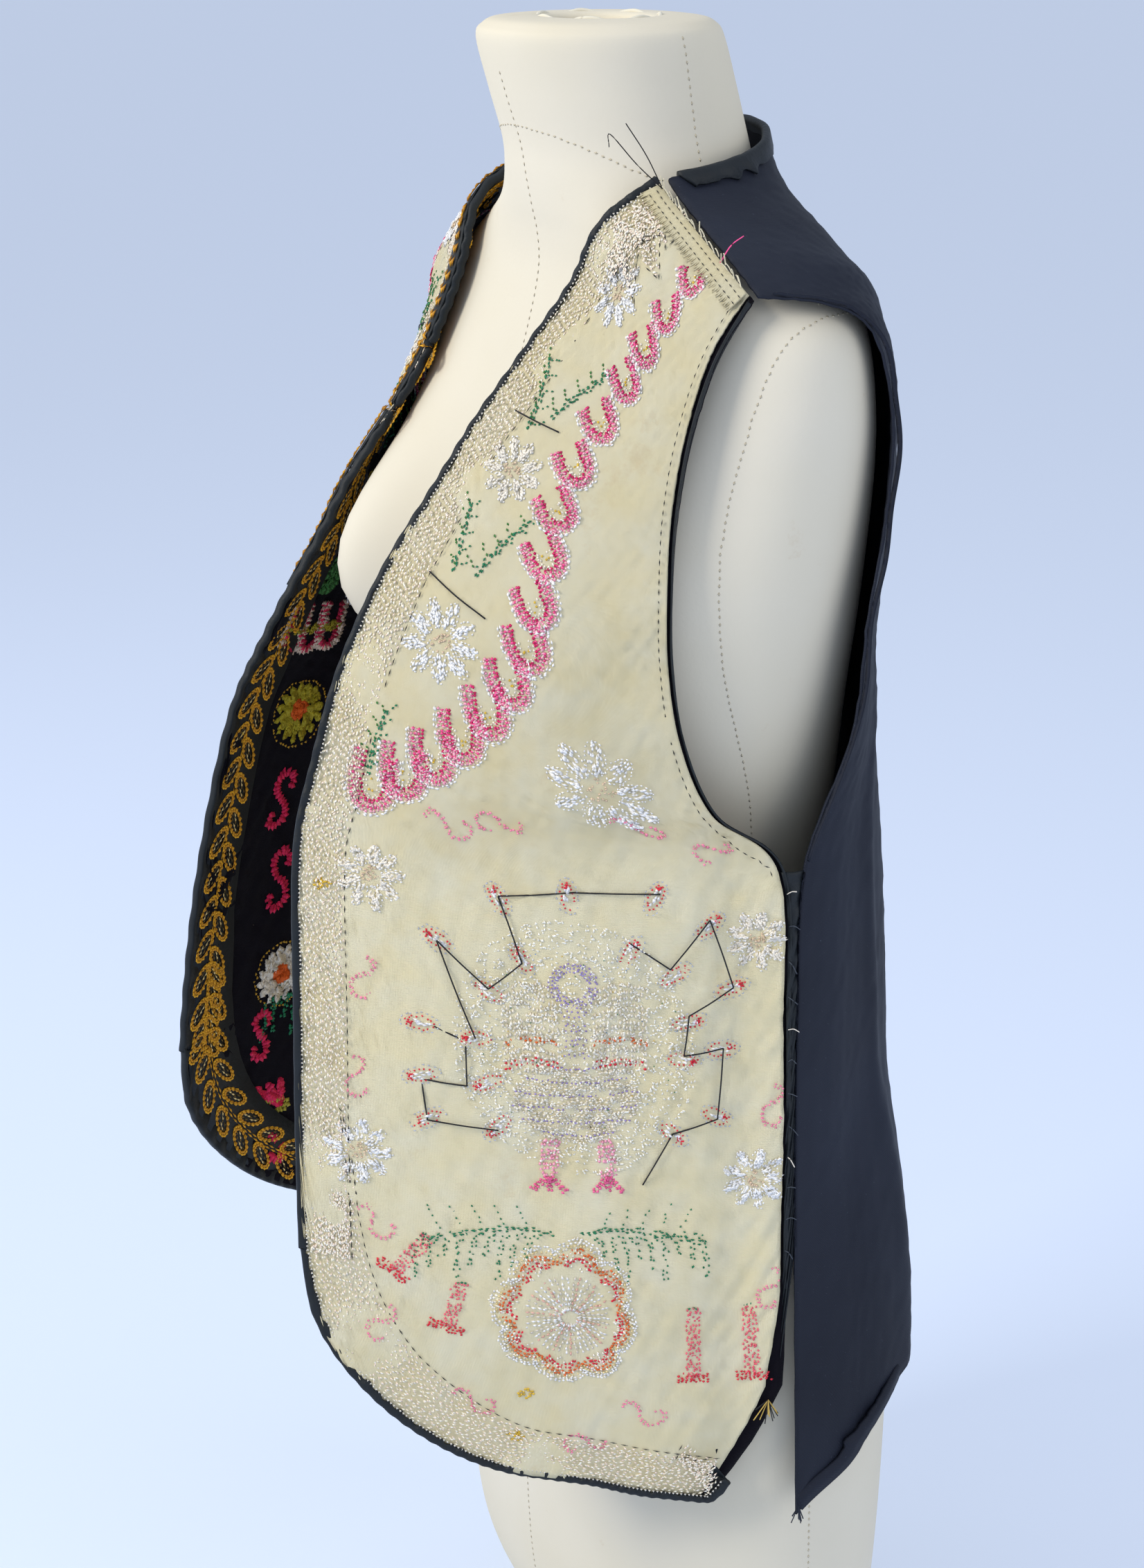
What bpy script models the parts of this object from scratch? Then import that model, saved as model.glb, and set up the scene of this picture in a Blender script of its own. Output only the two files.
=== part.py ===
"""An embroidered folk vest, worn inside out on a limbless dress form.

The origin is the middle of the form's flat base, +Z is up, the form faces -Y and its left is +X.
Each cloth panel is a smooth surface worked out from a short table of sections. A piece is a thin
closed wall between two distances from its panel's surface, so whatever lies on a panel is made
from that panel's own points, moved out. The vest is drawn evenly about the middle of the form,
and hung() then turns it and lets it slip askew, as it really hangs.
"""

from math import cos, exp, log, pi, sin

import bpy
import bmesh
from mathutils import Vector
from mathutils.bvhtree import BVHTree

CM = 0.01
MM = 0.001

# ---------------------------------------------------------------- cloth thicknesses and widths
BACKING_THICKNESS = 1.0 * MM  # cream cotton behind the embroidery, now outside
VELVET_THICKNESS = 1.2 * MM  # black pile cloth, now inside
SATEEN_THICKNESS = 1.3 * MM  # navy cloth of the back
STRIP_THICKNESS = 1.0 * MM  # bands, bindings, turned hems and seam allowances
PLY_GAP = 0.8 * MM  # backing to velvet
STRIP_GAP = 1.8 * MM  # a strip to the cloth under it, which is flat between its own lines
FOLDED_GAP = 2.2 * MM  # and its folded leg, on the inside of the bend
FORM_CLEARANCE = 8.0 * MM  # middle of the cloth to the form, where it rests on it
FORM_EASING = 1.5 * MM  # how softly the cloth comes to rest
EASING_SPAN, REST_PASSES = 20 * MM, 2

BAND_WIDTH = 27 * MM  # border band on the velvet side
LIP_WIDTH = 5.5 * MM  # what the band shows on the backing, turned over the edge
ARMHOLE_VELVET = 3.5 * MM  # velvet shown past the backing, along the armhole and side seam
SLIT_VELVET = 9 * MM  # and past it along the side slit
BACK_HEM_WIDTH = 9 * MM
ARMHOLE_HEM_WIDTH = 8 * MM
NECK_BINDING_WIDTH, NECK_BINDING_INSIDE = 7 * MM, 3 * MM
SHOULDER_ALLOWANCE = 11 * MM
SIDE_ALLOWANCE = 8 * MM
SEAM_INSET = 1.2 * MM  # each panel stops this far short of the shoulder seam and neckline
EDGE_INSET = 1.2 * MM  # and its plies this far short of the folded edge

# ---------------------------------------------------------------- how the vest hangs
TWIST = -7.5 * pi / 180  # the vest is turned about the form, its left side forward
TWIST_AXIS_Y = -1.4 * CM
HANG_REACH = 6 * CM  # half of the width over which slip and lead change sides
# How it lies askew at each height, in cm: the left front lower and the right one higher by slip,
# and the left front further forward and the right one further back by lead.
HANG = [
    # height, slip, lead
    (20.0, 2.5, -0.8),
    (32.0, 2.0, -0.7),
    (44.0, 1.4, -0.1),
    (56.0, 1.0, 1.0),
    (68.0, 0.8, 2.1),
    (80.0, 0.1, 1.4),
    (92.0, 0.0, 0.0),
]

# ---------------------------------------------------------------- the dress form
# One row for each level, in cm: its height, half its width, and where its front and back lie on Y.
FORM_LEVELS = [
    # height, half_width, front, back
    (0.0, 12.2, -6.3, 6.3),
    (0.5, 12.8, -6.7, 6.8),
    (3.5, 14.4, -8.4, 7.2),
    (7.0, 15.2, -9.3, 7.8),
    (13.0, 15.5, -9.7, 8.3),
    (21.0, 15.8, -9.9, 8.4),
    (29.0, 15.6, -9.7, 8.1),
    (37.0, 14.2, -9.4, 7.2),
    (47.0, 12.1, -9.2, 5.2),
    (56.0, 13.6, -10.6, 5.1),
    (64.0, 15.2, -11.4, 5.5),
    (70.0, 16.0, -10.7, 5.5),
    (74.0, 16.3, -9.8, 4.9),
    (77.0, 15.9, -9.0, 4.1),
    (78.8, 13.9, -8.7, 3.5),
    (80.3, 10.9, -8.8, 3.0),
    (81.6, 8.2, -9.1, 2.6),
    (83.0, 6.7, -9.4, 2.2),
    (84.6, 6.1, -9.7, 1.9),
    (87.0, 5.9, -10.5, 1.3),
    (89.4, 5.8, -11.2, 0.6),
    (90.1, 5.4, -10.9, 0.2),
    (90.4, 4.6, -10.1, -0.6),
    (90.4, 2.7, -8.1, -2.7),
    (89.7, 2.4, -7.8, -3.0),
]
FORM_SIDES, RESTING_SIDES, RESTING_STEPS = 44, 120, 5
FORM_ROUNDNESS = 2.2  # superellipse power of a level
BUST_X, BUST_Z, BUST_DEPTH = 8.6 * CM, 62.2 * CM, 6.4 * CM
BUST_WIDE, BUST_ABOVE, BUST_BELOW = 4.8 * CM, 7.4 * CM, 6.2 * CM

# ---------------------------------------------------------------- the panels, before they are hung
# The left front, a row for each section from the shoulder seam down, in cm. A section runs from
# the front edge to the armhole or side, and bulges out from the straight line between them.
FRONT_SECTIONS = [
    # front_x, front_y, front_z, side_x, side_y, side_z, bulge
    (7.3, -5.1, 83.3, 15.5, -3.8, 79.0, 0.0),
    (6.4, -7.6, 80.5, 15.4, -5.6, 76.2, 0.5),
    (6.1, -9.5, 77.3, 15.3, -6.7, 73.1, 0.7),
    (6.4, -11.5, 73.8, 15.2, -7.3, 69.8, 1.0),
    (6.7, -13.9, 70.4, 15.2, -7.5, 66.6, 1.2),
    (7.3, -17.0, 66.6, 15.3, -7.5, 62.9, 1.2),
    (7.6, -19.7, 62.2, 15.4, -6.9, 59.0, 1.2),
    (7.9, -21.7, 57.8, 15.7, -5.3, 55.4, 1.2),
    (8.2, -23.2, 53.6, 16.4, -2.1, 52.6, 1.2),
    (8.6, -24.2, 45.9, 16.4, -1.6, 45.2, 1.2),
    (8.8, -24.8, 38.5, 16.4, -1.5, 37.9, 1.1),
    (9.0, -25.0, 31.7, 16.4, -1.5, 30.7, 1.0),
    (9.3, -24.4, 26.4, 16.3, -1.6, 24.9, 0.9),
    (9.6, -23.4, 21.6, 16.0, -2.0, 19.4, 0.8),
]
# The front's hem, in sections down and in shares of the width across: its lowest place, how far
# and over what width it rises to the front edge, its slope, and its rise at the side slit.
HEM_LOWEST = 13.0
HEM_FRONT_RISE, HEM_FRONT_SHARE, HEM_SLOPE = 1.9, 0.42, 0.45
HEM_SIDE_RISE, HEM_SIDE_SHARE = 1.2, 0.14

# The back, a row for each section from the top down, in cm: the middle of the back, the armhole
# or side edge, and the angle in degrees through which the section turns from one to the other.
BACK_SECTIONS = [
    # middle_y, middle_z, side_x, side_y, side_z, turn
    (2.7, 82.2, 15.9, -0.6, 78.5, 55),
    (4.0, 78.8, 16.1, 1.9, 77.2, 58),
    (5.2, 74.5, 16.2, 3.1, 73.6, 60),
    (5.8, 69.5, 16.2, 2.9, 69.0, 62),
    (6.1, 64.5, 16.2, 2.1, 64.4, 66),
    (7.0, 59.0, 16.2, 1.4, 58.8, 74),
    (8.4, 52.8, 16.4, -1.1, 52.6, 82),
    (9.2, 45.4, 16.4, -1.35, 45.2, 82),
    (9.6, 38.0, 16.4, -1.3, 37.9, 82),
    (9.8, 31.6, 16.6, -1.2, 30.7, 82),
    (9.7, 28.2, 16.9, -1.0, 19.2, 82),
]
NAPE = Vector((0.0, 2.6, 85.2)) * CM
NECK_POINT = Vector((7.3, -5.0, 83.3)) * CM  # where the neckline and the shoulder seam meet
SHOULDER_POINT = Vector((15.5, -3.7, 79.0)) * CM
NECK_SHARE = 0.42  # of each half of the back's top edge, the share that is neckline
SEAM_TOP_ROW, SEAM_LOW_ROW = 7, 9.6  # rows of the back's table between which the side seam runs
# Soft folds that hang from the shoulder blades: their place from the middle back (0) to the side
# (1), half their width there, and how far they stand out at the waist and the hem, in cm.
BACK_FOLDS = [
    # place, half_width, at_waist, at_hem
    (0.86, 0.08, 0.3, 0.8),
    (0.60, 0.10, -0.2, -0.7),
    (0.28, 0.12, 0.1, 0.6),
]

NECK_EASE, EASED_ROWS = 0.55, 3  # how the first sections are spread outward, below the neckline
FOLD_START, FOLD_DEEPENING = (5, 8), (8, 11)  # sections over which they begin, then deepen
HEIGHT_BEND = 1.6  # how late each section of the back drops from the middle back to the side

# ---------------------------------------------------------------- how finely the cloth is faceted
FRONT_COLUMNS, FRONT_ROWS = 12, 21
BACK_COLUMNS, BACK_ROWS = 32, 18
COLUMN_SPREAD = 1.3  # how much closer the front's columns stand at its front edge
ROW_SPREAD = 1.2  # how much closer the rows stand at the shoulders
MITRE_START, MITRE = 4 * MM, 2.0  # a band's width at the shoulder seam, and how fast it grows below
BINDING_SHARE = 0.72  # share of the neckline that its binding covers
SLIT_ROWS = (0.84, 0.9)  # share of the rows at which the side seam gives way to the slit
BAND_END = 0.86  # share of the front's hem that the band covers
LIP_SHARE = 0.06  # share of the shoulder seam that the band's lip covers
SEAM_END = 0.05  # sections left free between the armhole's hem and the side seam's allowance
TOP_ROW, LOW_ROW = 3.0 * CM, 5.0 * CM  # real length of a front's first section, and its last
INSIDE_PASSES, INSIDE_DAMPING = 3, 1.02


# ---------------------------------------------------------------- curves
def mixed(a, b, share):
    return a + (b - a) * share


def smooth_step(low, high, value):
    share = min(1.0, max(0.0, (value - low) / (high - low)))
    return share * share * (3 - 2 * share)


def through(values, place):
    """A smooth curve through evenly spaced values (Catmull-Rom), at a place counted in values."""
    last = len(values) - 1
    i = max(0, min(int(place), last - 1))
    t = place - i
    here, after = values[i], values[i + 1]
    before = values[i - 1] if i else here * 2 - after
    beyond = values[i + 2] if i + 2 <= last else after * 2 - here
    return 0.5 * (
        here * 2
        + (after - before) * t
        + (before * 2 - here * 5 + after * 4 - beyond) * t * t
        + (here * 3 - before - after * 3 + beyond) * t * t * t
    )


def power(value, exponent):
    """The power of a value that keeps its sign, as a superellipse needs."""
    return abs(value) ** exponent * (1 if value > 0 else -1)


# ---------------------------------------------------------------- bodies
def material(name, color, roughness):
    made = bpy.data.materials.new(name)
    made.use_nodes = True
    shader = made.node_tree.nodes["Principled BSDF"]
    shader.inputs["Base Color"].default_value = (*color, 1.0)
    shader.inputs["Roughness"].default_value = roughness
    shader.inputs["Metallic"].default_value = 0.0
    return made


def body(name, shape, finish):
    bmesh.ops.recalc_face_normals(shape, faces=shape.faces)
    if shape.calc_volume(signed=True) < 0:
        bmesh.ops.reverse_faces(shape, faces=shape.faces)
    mesh = bpy.data.meshes.new(name)
    shape.to_mesh(mesh)
    shape.free()
    mesh.materials.append(finish)
    mesh.shade_smooth()
    mesh.set_sharp_from_angle(angle=pi / 4)
    made = bpy.data.objects.new(name, mesh)
    bpy.context.scene.collection.objects.link(made)
    return made


def halves(a, b, c, d):
    """A four-sided face as two triangles that meet along the line from a to c."""
    return (a, b, c), (a, c, d)


def lofted(name, rings, finish, rising=None):
    """A closed body through rings of points, each ring a closed outline, its two ends filled.

    rising tells for each side of the outline which way its faces are halved.
    """
    shape = bmesh.new()
    rows = [[shape.verts.new(point) for point in ring] for ring in rings]
    for one, other in zip(rows, rows[1:]):
        for k in range(len(one)):
            after = (k + 1) % len(one)
            if rising is None:
                shape.faces.new((one[k], one[after], other[after], other[k]))
                continue
            corners = (one[k], one[after], other[after], other[k])
            if not rising[k]:
                corners = corners[1:] + corners[:1]
            for half in halves(*corners):
                shape.faces.new(half)
    shape.faces.new(rows[0])
    shape.faces.new(rows[-1])
    return body(name, shape, finish)


def walled(name, panel, places, low, high, finish):
    """A closed sheet between two distances from a panel, over a grid of its (u, v) places."""
    tall, wide = len(places), len(places[0])
    shape = bmesh.new()
    under, over = [
        [[shape.verts.new(panel.off(u, v, distance)) for u, v in row] for row in places]
        for distance in (low, high)
    ]
    for j in range(tall - 1):
        for i in range(wide - 1):
            for face in (over, under):
                corners = (face[j][i], face[j][i + 1], face[j + 1][i + 1], face[j + 1][i])
                for half in halves(*corners):
                    shape.faces.new(half)
    rim = [(0, i) for i in range(wide)] + [(j, wide - 1) for j in range(1, tall)]
    rim += [(tall - 1, i) for i in range(wide - 2, -1, -1)] + [(j, 0) for j in range(tall - 2, 0, -1)]
    for (j, i), (n, m) in zip(rim, rim[1:] + rim[:1]):
        shape.faces.new((under[j][i], under[n][m], over[n][m], over[j][i]))
    return body(name, shape, finish)


# ---------------------------------------------------------------- the form
def bust(x, z):
    """How far the bust stands out of its level's own outline."""
    reach = BUST_ABOVE if z > BUST_Z else BUST_BELOW
    aside = (abs(x) - BUST_X) / BUST_WIDE
    return BUST_DEPTH * exp(-(aside**2) - ((z - BUST_Z) / reach) ** 2)


def form_ring(level, sides):
    height, half_width, front, back = (value * CM for value in level)
    middle, half_depth = (front + back) / 2, (back - front) / 2
    ring = []
    for k in range(sides):
        turn = 2 * pi * k / sides
        x = half_width * power(cos(turn), 2 / FORM_ROUNDNESS)
        y = middle + half_depth * power(sin(turn), 2 / FORM_ROUNDNESS)
        if turn > pi:
            y -= bust(x, height) * abs(sin(turn)) ** 0.5
        ring.append(Vector((x, y, height)))
    return ring


def dress_form(finish):
    return lofted("dress_form", [form_ring(level, FORM_SIDES) for level in FORM_LEVELS], finish)


def resting_surface():
    """A finer skin of the form, smooth between its levels, for the cloth to rest on."""
    levels = [Vector(level) for level in FORM_LEVELS]
    places = [k / RESTING_STEPS for k in range((len(levels) - 1) * RESTING_STEPS + 1)]
    rings = [form_ring(through(levels, place), RESTING_SIDES) for place in places]
    points = [point for ring in rings for point in ring]
    faces = []
    for j in range(len(rings) - 1):
        for k in range(RESTING_SIDES):
            after = (k + 1) % RESTING_SIDES
            low, high = j * RESTING_SIDES, (j + 1) * RESTING_SIDES
            faces.append((low + k, low + after, high + after, high + k))
    return BVHTree.FromPolygons(points, faces)


# ---------------------------------------------------------------- panels
def hung(point):
    """Where a point of the evenly drawn vest really hangs, turned about the form and askew."""
    x, y = point.x, point.y - TWIST_AXIS_Y
    first, step = HANG[0][0] * CM, (HANG[1][0] - HANG[0][0]) * CM
    place = max(0.0, min(len(HANG) - 1.0, (point.z - first) / step))
    side = smooth_step(-HANG_REACH, HANG_REACH, x) * 2 - 1
    slip = through([row[1] for row in HANG], place) * side * CM
    lead = through([row[2] for row in HANG], place) * side * CM * smooth_step(-6.5 * CM, -11 * CM, y)
    return Vector((
        x * cos(TWIST) - y * sin(TWIST),
        x * sin(TWIST) + y * cos(TWIST) + TWIST_AXIS_Y - lead,
        point.z - slip,
    ))


class Panel:
    """A surface of cloth, with u across it and v down it, counted in sections.

    at(u, v) is a point of the smooth surface. The pieces are made from the same surface cut into
    flat facets, whose corners are at places, a grid of (u, v) pairs that index_of finds again.
    """

    def __init__(self, form, drawn, side, out, places, index_of):
        self.form, self.drawn, self.side, self.out = form, drawn, side, out
        self.places, self.index_of = places, index_of
        self.points = [[self.at(*place) for place in row] for row in places]
        self.normals = [[self.normal(*place) for place in row] for row in places]

    def at(self, u, v):
        point = self.drawn(u, v)
        point.x *= self.side
        point = hung(point)
        for _ in range(REST_PASSES):
            place, normal, _, _ = self.form.find_nearest(point)
            inside = FORM_CLEARANCE - (point - place).dot(normal)
            push = inside if inside > EASING_SPAN else FORM_EASING * log(1 + exp(inside / FORM_EASING))
            point += normal * push
        return point

    def slopes(self, u, v, step=0.006):
        """How a point moves across and down the panel, for one unit of u and of v."""
        across = (self.at(u + step, v) - self.at(u - step, v)) / (2 * step)
        down = (self.at(u, v + step) - self.at(u, v - step)) / (2 * step)
        return across, down

    def normal(self, u, v):
        across, down = self.slopes(u, v)
        return down.cross(across).normalized() * self.out

    def off(self, u, v, distance):
        """The point a distance out of the facet at (u, v), on the side away from the form."""
        i, j = self.index_of(u, v)
        column = max(0, min(int(i), len(self.points[0]) - 2))
        row = max(0, min(int(j), len(self.points) - 2))
        top, low = (
            mixed(
                self.points[r][column] + self.normals[r][column] * distance,
                self.points[r][column + 1] + self.normals[r][column + 1] * distance,
                i - column,
            )
            for r in (row, row + 1)
        )
        return mixed(top, low, j - row)

    def inside(self, before, here, after, distance):
        """The place on the panel a real distance in from a path along its edge."""
        across, down = self.slopes(*here)
        ahead = across * (after[0] - before[0]) + down * (after[1] - before[1])
        way = self.normal(*here).cross(ahead).normalized() * self.side
        goal = self.at(*here) + way * distance
        u, v = here
        for _ in range(INSIDE_PASSES):
            across, down = self.slopes(u, v)
            left = goal - self.at(u, v)
            aa, ab, bb = across.dot(across), across.dot(down), down.dot(down)
            wa, wb = left.dot(across), left.dot(down)
            scale = aa * bb * INSIDE_DAMPING - ab * ab
            u, v = u + (wa * bb - wb * ab) / scale, v + (wb * aa - wa * ab) / scale
        return u, v


def front_drawn(u, v):
    spots = []
    for front_x, front_y, front_z, side_x, side_y, side_z, bulge in FRONT_SECTIONS:
        start, end = Vector((front_x, front_y, front_z)), Vector((side_x, side_y, side_z))
        chord = end - start
        out = Vector((chord.y, -chord.x, 0)).normalized()
        spots.append((start + chord * u + out * bulge * 4 * u * (1 - u)) * CM)
    return through(spots, v)


def back_top(u):
    """The back's top edge, from the nape round the neck and along the shoulder seam."""
    if u > NECK_SHARE:
        return mixed(NECK_POINT, SHOULDER_POINT, (u - NECK_SHARE) / (1 - NECK_SHARE))
    turn = u / NECK_SHARE * pi / 2
    return Vector((
        NECK_POINT.x * sin(turn),
        mixed(NECK_POINT.y, NAPE.y, cos(turn)),
        mixed(NECK_POINT.z, NAPE.z, cos(turn) ** 2),
    ))


def back_drawn(u, v):
    half = abs(u)
    spots = [back_top(half)]
    for row, (middle_y, middle_z, side_x, side_y, side_z, turn) in enumerate(BACK_SECTIONS):
        whole = turn * pi / 180
        eased = half + max(0, 1 - row / EASED_ROWS) * NECK_EASE * half * (1 - half)
        part = eased * whole
        spots.append(Vector((
            side_x * sin(part) / sin(whole),
            mixed(side_y, middle_y, (cos(part) - cos(whole)) / (1 - cos(whole))),
            mixed(middle_z, side_z, eased**HEIGHT_BEND),
        )) * CM)
    point = through(spots, v)
    share, low = smooth_step(*FOLD_START, v), smooth_step(*FOLD_DEEPENING, v)
    for place, half_width, at_waist, at_hem in BACK_FOLDS:
        near = exp(-(((half - place) / half_width) ** 2))
        point.y += mixed(at_waist, at_hem, low) * share * near * CM
    if u < 0:
        point.x = -point.x
    return point


# ---------------------------------------------------------------- what lies on the panels

def section(low, high, width, over=0.0):
    """A flat strip's outline, as (distance in from the edge, distance off the panel) pairs."""
    return [(width, low), (width / 2, low), (-over, low), (-over, high), (width / 2, high), (width, high)]


def folded_section(inner_width, outer_width, inner_face, outer_face):
    """The outline of a strip folded over an edge, from its inner width round to its outer one."""
    clear, turned = STRIP_GAP, STRIP_GAP + STRIP_THICKNESS
    inner_far, outer_far = inner_face - STRIP_THICKNESS, outer_face + STRIP_THICKNESS
    return [
        (inner_width, inner_far),
        (inner_width / 2, inner_far),
        (-clear, inner_far),
        (-turned, inner_face),
        (-turned, outer_face),
        (-clear, outer_far),
        (outer_width, outer_far),
        (outer_width, outer_face),
        (-clear, outer_face),
        (-clear, inner_face),
        (inner_width / 2, inner_face),
        (inner_width, inner_face),
    ]


def strip(name, panel, path, outline, finish, least=SEAM_INSET / TOP_ROW, mitred=False):
    """A body that follows a path along a panel's edge, with one outline all along it.

    It comes no nearer than least to the panel's top, where another panel is sewn on. A mitred
    one is cut off slantwise there.
    """
    rings = []
    for k, here in enumerate(path):
        before, after = path[max(k - 1, 0)], path[min(k + 1, len(path) - 1)]
        reach = min(1, (MITRE_START + here[1] * TOP_ROW * MITRE) / outline[0][0]) if mitred else 1
        ring = []
        for inside, off in outline:
            u, v = panel.inside(before, here, after, inside * reach if inside > 0 else inside)
            ring.append(panel.off(u, max(v, least), off))
        rings.append(ring)
    rising = [after[0] > here[0] for here, after in zip(outline, outline[1:] + outline[:1])]
    return lofted(name, rings, finish, rising)


# ---------------------------------------------------------------- the fronts
def hem_place(u):
    to_front = max(0.0, 1 - u / HEM_FRONT_SHARE)
    to_side = max(0.0, (u - 1 + HEM_SIDE_SHARE) / HEM_SIDE_SHARE)
    rise = HEM_FRONT_RISE * (1 - (1 - to_front**2) ** 0.5) + HEM_SIDE_RISE * to_side**1.4
    return HEM_LOWEST - rise - HEM_SLOPE * (1 - u)


def front_places():
    places = []
    for j in range(FRONT_ROWS + 1):
        across = [(i / FRONT_COLUMNS) ** COLUMN_SPREAD for i in range(FRONT_COLUMNS + 1)]
        places.append([(u, hem_place(u) * (j / FRONT_ROWS) ** ROW_SPREAD) for u in across])
    return places


def front_index(u, v):
    first = (1 / FRONT_COLUMNS) ** COLUMN_SPREAD
    column = u / first if u < first else FRONT_COLUMNS * u ** (1 / COLUMN_SPREAD)
    return column, FRONT_ROWS * max(0, v / hem_place(max(0, min(1, u)))) ** (1 / ROW_SPREAD)


def ply_places(panel, armhole_inset, slit_inset):
    """The panel's places for one ply, set in from the shoulder, the armhole and the side slit."""
    places = [list(row) for row in panel.places]
    for i, (u, _) in enumerate(places[0]):
        places[0][i] = (u, SEAM_INSET / TOP_ROW)
        low = slit_inset / LOW_ROW * smooth_step(BAND_END, 1, u)
        places[-1][i] = (u, places[-1][i][1] - low - EDGE_INSET / LOW_ROW)
    for j, row in enumerate(places):
        row[0] = (EDGE_INSET / panel.slopes(*row[0])[0].length, row[0][1])
        inset = mixed(armhole_inset, slit_inset, smooth_step(*SLIT_ROWS, j / FRONT_ROWS))
        u, v = row[-1]
        row[-1] = (u - inset / panel.slopes(u, v)[0].length, v)
    return places


def front(name, panel, cloths):
    backing, velvet = PLY_GAP / 2, -PLY_GAP / 2 - VELVET_THICKNESS
    face = backing + BACKING_THICKNESS
    outer = ply_places(panel, ARMHOLE_VELVET, SLIT_VELVET)
    walled(f"front_{name}_backing", panel, outer, backing, face, cloths["backing"])
    inner = ply_places(panel, 0, 0)
    walled(f"front_{name}_velvet", panel, inner, velvet, -PLY_GAP / 2, cloths["velvet"])
    edge = [(0.0, SEAM_INSET / TOP_ROW)] + [row[0] for row in panel.places[1:]]
    hem = [place for place in panel.places[-1][1:] if place[0] < BAND_END]
    hem.append((BAND_END, hem_place(BAND_END)))
    outline = folded_section(BAND_WIDTH, LIP_WIDTH, velvet - FOLDED_GAP, face + FOLDED_GAP)
    strip(f"border_band_{name}", panel, edge + hem, outline, cloths["band"], mitred=True)
    low = face + STRIP_GAP
    seam = [place for place in inner[0][::-1] if place[0] > LIP_SHARE]
    outline = section(low, low + STRIP_THICKNESS, SHOULDER_ALLOWANCE)
    strip(f"shoulder_allowance_{name}", panel, seam, outline, cloths["backing"])


# ---------------------------------------------------------------- the back
def back_places():
    last = len(BACK_SECTIONS)
    return [
        [
            (mixed(-1, 1, i / BACK_COLUMNS), last * (j / BACK_ROWS) ** ROW_SPREAD)
            for i in range(BACK_COLUMNS + 1)
        ]
        for j in range(BACK_ROWS + 1)
    ]


def back_index(u, v):
    row = BACK_ROWS * power(v / len(BACK_SECTIONS), 1 / ROW_SPREAD)
    return (u + 1) / 2 * BACK_COLUMNS, row


def back(panel, cloths):
    low, high = -SATEEN_THICKNESS / 2, SATEEN_THICKNESS / 2
    top = SEAM_INSET / TOP_ROW
    places = [[(u, top) for u, _ in panel.places[0]]] + panel.places[1:]
    walled("back", panel, places, low, high, cloths["sateen"])
    flat = high + STRIP_GAP
    outline = section(flat, flat + STRIP_THICKNESS, BACK_HEM_WIDTH)
    strip("back_hem", panel, places[-1][::-1], outline, cloths["sateen"])
    outline = folded_section(NECK_BINDING_INSIDE, NECK_BINDING_WIDTH, low - FOLDED_GAP, high + FOLDED_GAP)
    neckline = [place for place in places[0] if abs(place[0]) < NECK_SHARE * BINDING_SHARE]
    strip("neck_binding", panel, neckline, outline, cloths["band"], -1)
    for name, side, column in (("left", 1, -1), ("right", -1, 0)):
        edge = [row[column] for row in places]
        armhole = [place for place in edge if 1 < place[1] < SEAM_TOP_ROW - SEAM_END]
        seam = [place for place in edge if SEAM_TOP_ROW + SEAM_END < place[1] < SEAM_LOW_ROW]
        outline = section(flat, flat + STRIP_THICKNESS, ARMHOLE_HEM_WIDTH)
        strip(f"armhole_hem_{name}", panel, armhole[::side], outline, cloths["sateen"])
        outline = section(flat, flat + STRIP_THICKNESS, SIDE_ALLOWANCE)
        strip(f"side_allowance_{name}", panel, seam[::side], outline, cloths["sateen"])


# ---------------------------------------------------------------- the whole
def main():
    for thing in list(bpy.data.objects):
        bpy.data.objects.remove(thing)
    cloths = {
        "backing": material("cream cotton backing", (0.81, 0.74, 0.48), 0.9),
        "velvet": material("black velvet", (0.006, 0.005, 0.007), 0.95),
        "band": material("dark satin band", (0.02, 0.03, 0.04), 0.6),
        "sateen": material("navy sateen", (0.013, 0.02, 0.036), 0.75),
        "form": material("ivory jersey cover", (0.8, 0.76, 0.63), 0.85),
    }
    dress_form(cloths["form"])
    resting = resting_surface()
    for name, side in (("left", 1), ("right", -1)):
        panel = Panel(resting, front_drawn, side, side, front_places(), front_index)
        front(name, panel, cloths)
    back(Panel(resting, back_drawn, 1, -1, back_places(), back_index), cloths)


main()
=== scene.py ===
# %% [markdown]
# # An embroidered folk vest, inside out on a dress form
# The vest hangs wrong side out, so the cream backing and the back of the stitching face the room.
# The solids give the true shape. Here the same surfaces are drawn again, much finer, and given
# cloth, thread and light.

from math import cos, exp, log, pi, sin

import bpy
import numpy as np
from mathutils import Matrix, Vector
from mathutils.bvhtree import BVHTree


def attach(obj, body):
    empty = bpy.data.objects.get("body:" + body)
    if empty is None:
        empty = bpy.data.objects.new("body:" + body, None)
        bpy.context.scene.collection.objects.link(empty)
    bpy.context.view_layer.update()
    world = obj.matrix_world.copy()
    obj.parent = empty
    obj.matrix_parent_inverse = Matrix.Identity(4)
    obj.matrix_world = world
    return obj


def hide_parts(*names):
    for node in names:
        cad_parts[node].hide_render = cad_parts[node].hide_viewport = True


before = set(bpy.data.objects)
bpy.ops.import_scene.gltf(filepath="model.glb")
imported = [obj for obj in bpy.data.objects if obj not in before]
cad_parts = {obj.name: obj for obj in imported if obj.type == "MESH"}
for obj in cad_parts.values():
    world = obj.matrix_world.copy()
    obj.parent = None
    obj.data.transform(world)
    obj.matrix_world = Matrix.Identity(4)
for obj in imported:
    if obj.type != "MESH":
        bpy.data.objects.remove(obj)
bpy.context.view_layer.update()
rng = np.random.default_rng(11)

# %% [markdown]
# ## The shape of each panel
# These are the tables that the solids are cut from: the form's levels, the sections of the fronts
# and the back, and how the vest hangs askew. A maker would call them the block and the fitting.

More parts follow.
